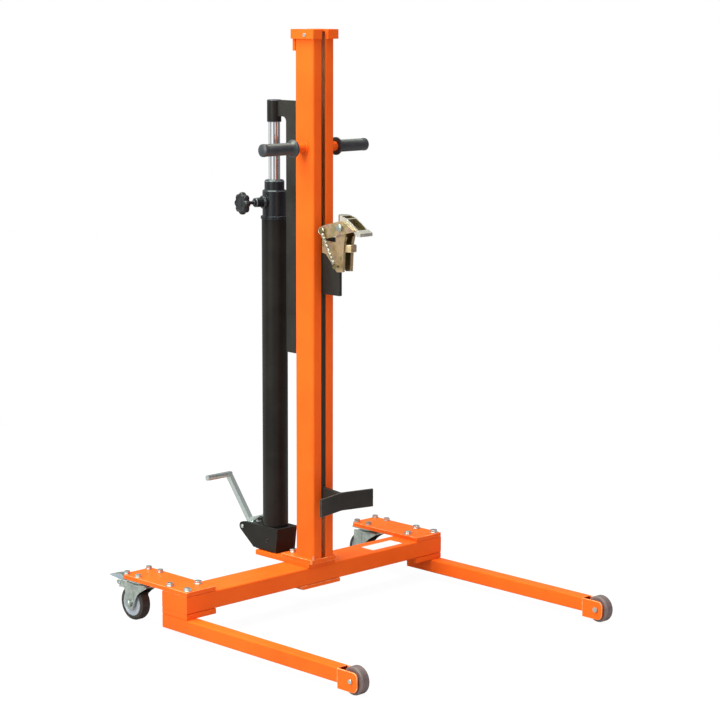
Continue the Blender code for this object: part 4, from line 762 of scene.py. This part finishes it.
caster_x, swivel_y, wheel_y, wheel_height = 0.450, 0.222, 0.259, 0.050
fold_out, fold_y, fold_heights = 0.0221, 0.2445, (0.062, 0.075, 0.090, 0.1075)
race_radius, race_height = 0.0300, 0.1183
hub = [(0.0, 0.0010), (0.0088, 0.0010), (0.0088, 0.0), (0.0074, -0.0014), (0.0042, -0.0024), (0.0, -0.0027)]
for name, side in sides:
    fork = "caster_fork_" + name
    finish_solid("front_roller_" + name, roller_nylon, 0.0008)
    finish_solid("front_axle_" + name, zinc, 0.0004)
    finish_solid("caster_plate_" + name, (dull_zinc, zinc), 0.0005, above_seat(end_plate_top))
    finish_solid(fork, dull_zinc, 0.0006)
    finish_solid("caster_core_" + name, core_plastic, 0.0006)
    finish_solid("caster_tyre_" + name, tread_rubber, 0.0004)
    finish_solid("caster_axle_" + name, zinc, 0.0004)
    for outer in (-1, 1):
        which = "inner" if outer == -side else "outer"
        fold = [place(side * caster_x + outer * fold_out, fold_y, height) for height in fold_heights]
        swept(f"fork_fold_{name}_{which}", fold, 0.0013, dull_zinc, fork)
    race = circle(place(side * caster_x, swivel_y, race_height), race_radius, x_way, y_way, 40)
    swept("race_ring_" + name, race, 0.0014, zinc, fork, True)
    axle_low, axle_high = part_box("caster_axle_" + name)
    hub_middle = place(0, wheel_y, wheel_height)
    hub_middle.x = axle_low.x if side < 0 else axle_high.x
    profile = [(radius, -side * distance) for radius, distance in hub]
    add_piece("hub_dome_" + name, turned(profile, hub_middle, 32), dull_zinc, fork)
finish_solid("brake_pedal_left", smooth_zinc, 0.0004)
# The deck's paler zinc is a painted highlight on the pedal's top.
bm = block(place(-0.4680, 0.2765, 0.1088), place(-0.4320, 0.3155, 0.1101))
soften_edges(bm, 0.0003)
add_piece("brake_deck", bm, painted_highlight_zinc, "brake_pedal_left")
brake_y, brake_height, cheek_out, cheek_thick = 0.303, 0.1015, 0.0178, 0.0012
cheek_line = [(0.0495, 0.0128), (0.0290, 0.0178), (0.0045, 0.0236), (-0.0060, 0.0230), (-0.0200, 0.0140),
              (-0.0200, 0.0090), (0.0080, 0.0090), (0.0300, 0.0110)]
for name, side in sides:
    bm = bmesh.new()
    near = []
    for y, z in cheek_line:
        near.append(bm.verts.new(place(-caster_x + side * cheek_out, brake_y + y, brake_height + z)))
    face = bm.faces.new(near)
    bm.normal_update()
    grown = bmesh.ops.extrude_face_region(bm, geom=[face])
    moved = [item for item in grown["geom"] if isinstance(item, bmesh.types.BMVert)]
    bmesh.ops.translate(bm, verts=moved, vec=x_way * (-side * cheek_thick))
    bmesh.ops.recalc_face_normals(bm, faces=bm.faces)
    add_piece("brake_cheek_" + name, bm, blue_zinc, "brake_pedal_left")
print("wheels finished")

# %% [markdown]
# ## The blank plate on the beam
# A thin pale plate lies on the beam's top. It is left bare.

# %% Blank plate
plate_low = place(0.230, -0.006, beam_top + 0.0001)
plate_high = place(0.352, 0.044, beam_top + 0.0007)
bm = block(plate_low, plate_high)
upright = [edge for edge in bm.edges if abs(edge.verts[0].co.z - edge.verts[1].co.z) > 0.0001]
bevel(bm, upright, 0.003, 3)
add_piece("blank_plate", bm, blank_film, "frame")
print("blank plate", [round(size, 3) for size in plate_high - plate_low])

# %% [markdown]
# ## Floor, light and camera
# The photograph is a studio shot on white. The floor shows as white to the camera and keeps a faint shadow.
# The light is broad: most comes from the left and from above, less from the front.
#
# Polished metal shows what stands round it, and in an even white room it would look flat. So rays that come
# off a shiny face see bright panels with dark gaps between them, all the way round the horizon. The floor
# ends at three metres, because upright chrome has to mirror those panels and not the floor. Rays that
# scatter off a matte face find the front of the room a little rosy, as the colours in the photograph do.


# %% Floor and world
def white_stage(name):
    """White light to the camera with a little grey that takes the shadow. Other rays find grey alone."""
    material = bpy.data.materials.new(name)
    material.use_nodes = True
    stage = Network(material.node_tree)
    stage.tree.nodes.clear()
    diffuse = stage.add("ShaderNodeBsdfDiffuse", None, {"Color": (0.42, 0.42, 0.42, 1)})
    glow = stage.add("ShaderNodeEmission", None, {"Color": (1, 1, 1, 1), "Strength": 1.10})
    camera_ray = stage.add("ShaderNodeLightPath", out="Is Camera Ray")
    blend = stage.add("ShaderNodeMixShader", None, {0: camera_ray * 0.87, 1: diffuse, 2: glow})
    output = stage.tree.nodes.new("ShaderNodeOutputMaterial")
    stage.put(output.inputs[0], blend)
    return material


floor_half = 3.0
bm = bmesh.new()
bmesh.ops.create_grid(bm, x_segments=1, y_segments=1, size=floor_half)
mesh = bpy.data.meshes.new("floor")
bm.to_mesh(mesh)
bm.free()
mesh.materials.append(white_stage("white_floor"))
floor = bpy.data.objects.new("floor", mesh)
bpy.context.scene.collection.objects.link(floor)
floor.location.z = -0.0005

world = bpy.data.worlds.new("studio")
bpy.context.scene.world = world
world.use_nodes = True
room = Network(world.node_tree)
background = room.tree.nodes["Background"].inputs
ray = room.add("ShaderNodeLightPath", out="Is Camera Ray")
direction = room.add("ShaderNodeTexCoord", out="Generated")
toward_light = Vector((-0.72, 0.10, 0.68)).normalized()
lean = room.add("ShaderNodeVectorMath", {"operation": "DOT_PRODUCT"}, {0: direction, 1: toward_light},
                "Value")
level = room.add("ShaderNodeMapRange", None, {"Value": lean, "From Min": -0.9, "From Max": 0.9,
                                              "To Min": 0.16, "To Max": 1.00}, "Result")
along_x = room.add("ShaderNodeSeparateXYZ", None, {0: direction}, "X")
along_y = along_x.beside("Y")
azimuth = along_y.math("ARCTAN2", along_x)
turn_share = room.add("ShaderNodeMapRange", None, {"Value": azimuth, "From Min": -math.pi,
                                                   "From Max": math.pi}, "Result")
bands = ((0.00, 1.3), (0.05, 1.4), (0.09, 0.25), (0.14, 0.25), (0.17, 1.3), (0.25, 1.2), (0.28, 0.3),
         (0.36, 0.3), (0.40, 1.0), (0.60, 0.9), (0.66, 0.3), (0.74, 1.1), (0.86, 1.1), (0.91, 0.3),
         (0.96, 0.3), (0.98, 1.3))
panels = room.ramp(turn_share, *[(position, (bright, bright, bright)) for position, bright in bands])
mirrored = room.add("ShaderNodeMix", {"data_type": "FLOAT"},
                    {0: ray.beside("Is Glossy Ray"), 2: level, 3: level * panels})
seen = room.add("ShaderNodeMix", {"data_type": "FLOAT"}, {0: ray, 2: mirrored, 3: 1.0})
room.put(background["Strength"], seen)
frontal = room.add("ShaderNodeMapRange", None, {"Value": along_y, "From Min": 0.0, "From Max": -1.0},
                   "Result")
rosy = frontal * ray.beside("Is Diffuse Ray")
room.put(background["Color"], room.mix(rosy, (1, 1, 1), (1.0, 0.64, 0.92)))
print("white stage ready")


# %% Lamps
def area_lamp(name, where, target, size, power, colour=(1, 1, 1)):
    lamp = bpy.data.lights.new(name, "AREA")
    lamp.shape = "SQUARE"
    lamp.size = size
    lamp.energy = power
    lamp.color = colour
    holder = bpy.data.objects.new(name, lamp)
    bpy.context.scene.collection.objects.link(holder)
    holder.location = where
    holder.rotation_euler = (Vector(target) - Vector(where)).to_track_quat("-Z", "Y").to_euler()


area_lamp("left_softbox", (-4.2, -0.2, 2.6), (0, 0, 0.8), 2.6, 150, (0.90, 0.98, 0.92))
area_lamp("top_softbox", (-0.8, 0.6, 4.6), (0, 0, 0.4), 2.8, 300, (0.87, 0.97, 0.82))
area_lamp("front_fill", (1.6, -5.0, 2.0), (0, 0, 0.7), 2.2, 22, (1.0, 0.70, 0.86))
print("three soft lamps")

# %% Camera
camera_place = Vector((-4.27836, -4.39874, 1.75755))
yaw, pitch, roll = math.radians(-44.37), math.radians(-9.69), math.radians(0.17)
right = Vector((math.cos(yaw), math.sin(yaw), 0))
forward = Vector((-math.sin(yaw) * math.cos(pitch), math.cos(yaw) * math.cos(pitch), math.sin(pitch)))
up = right.cross(forward)
turned_right = right * math.cos(roll) + up * math.sin(roll)
turned_up = up * math.cos(roll) - right * math.sin(roll)
image_size = 720
focal_pixels = 2238.23
centre_pixel = Vector((360.49, 371.25))
lens = bpy.data.cameras.new("photo_lens")
lens.sensor_width = 36
lens.lens = focal_pixels / image_size * lens.sensor_width
lens.shift_x = (image_size / 2 - centre_pixel.x) / image_size
lens.shift_y = (centre_pixel.y - image_size / 2) / image_size
camera = bpy.data.objects.new("photo_camera", lens)
bpy.context.scene.collection.objects.link(camera)
turn = Matrix((turned_right, turned_up, -forward)).transposed()
camera.matrix_world = Matrix.Translation(camera_place) @ turn.to_4x4()
bpy.context.scene.camera = camera
bpy.context.scene.view_settings.view_transform = "Standard"
print("camera at", [round(value, 2) for value in camera_place])
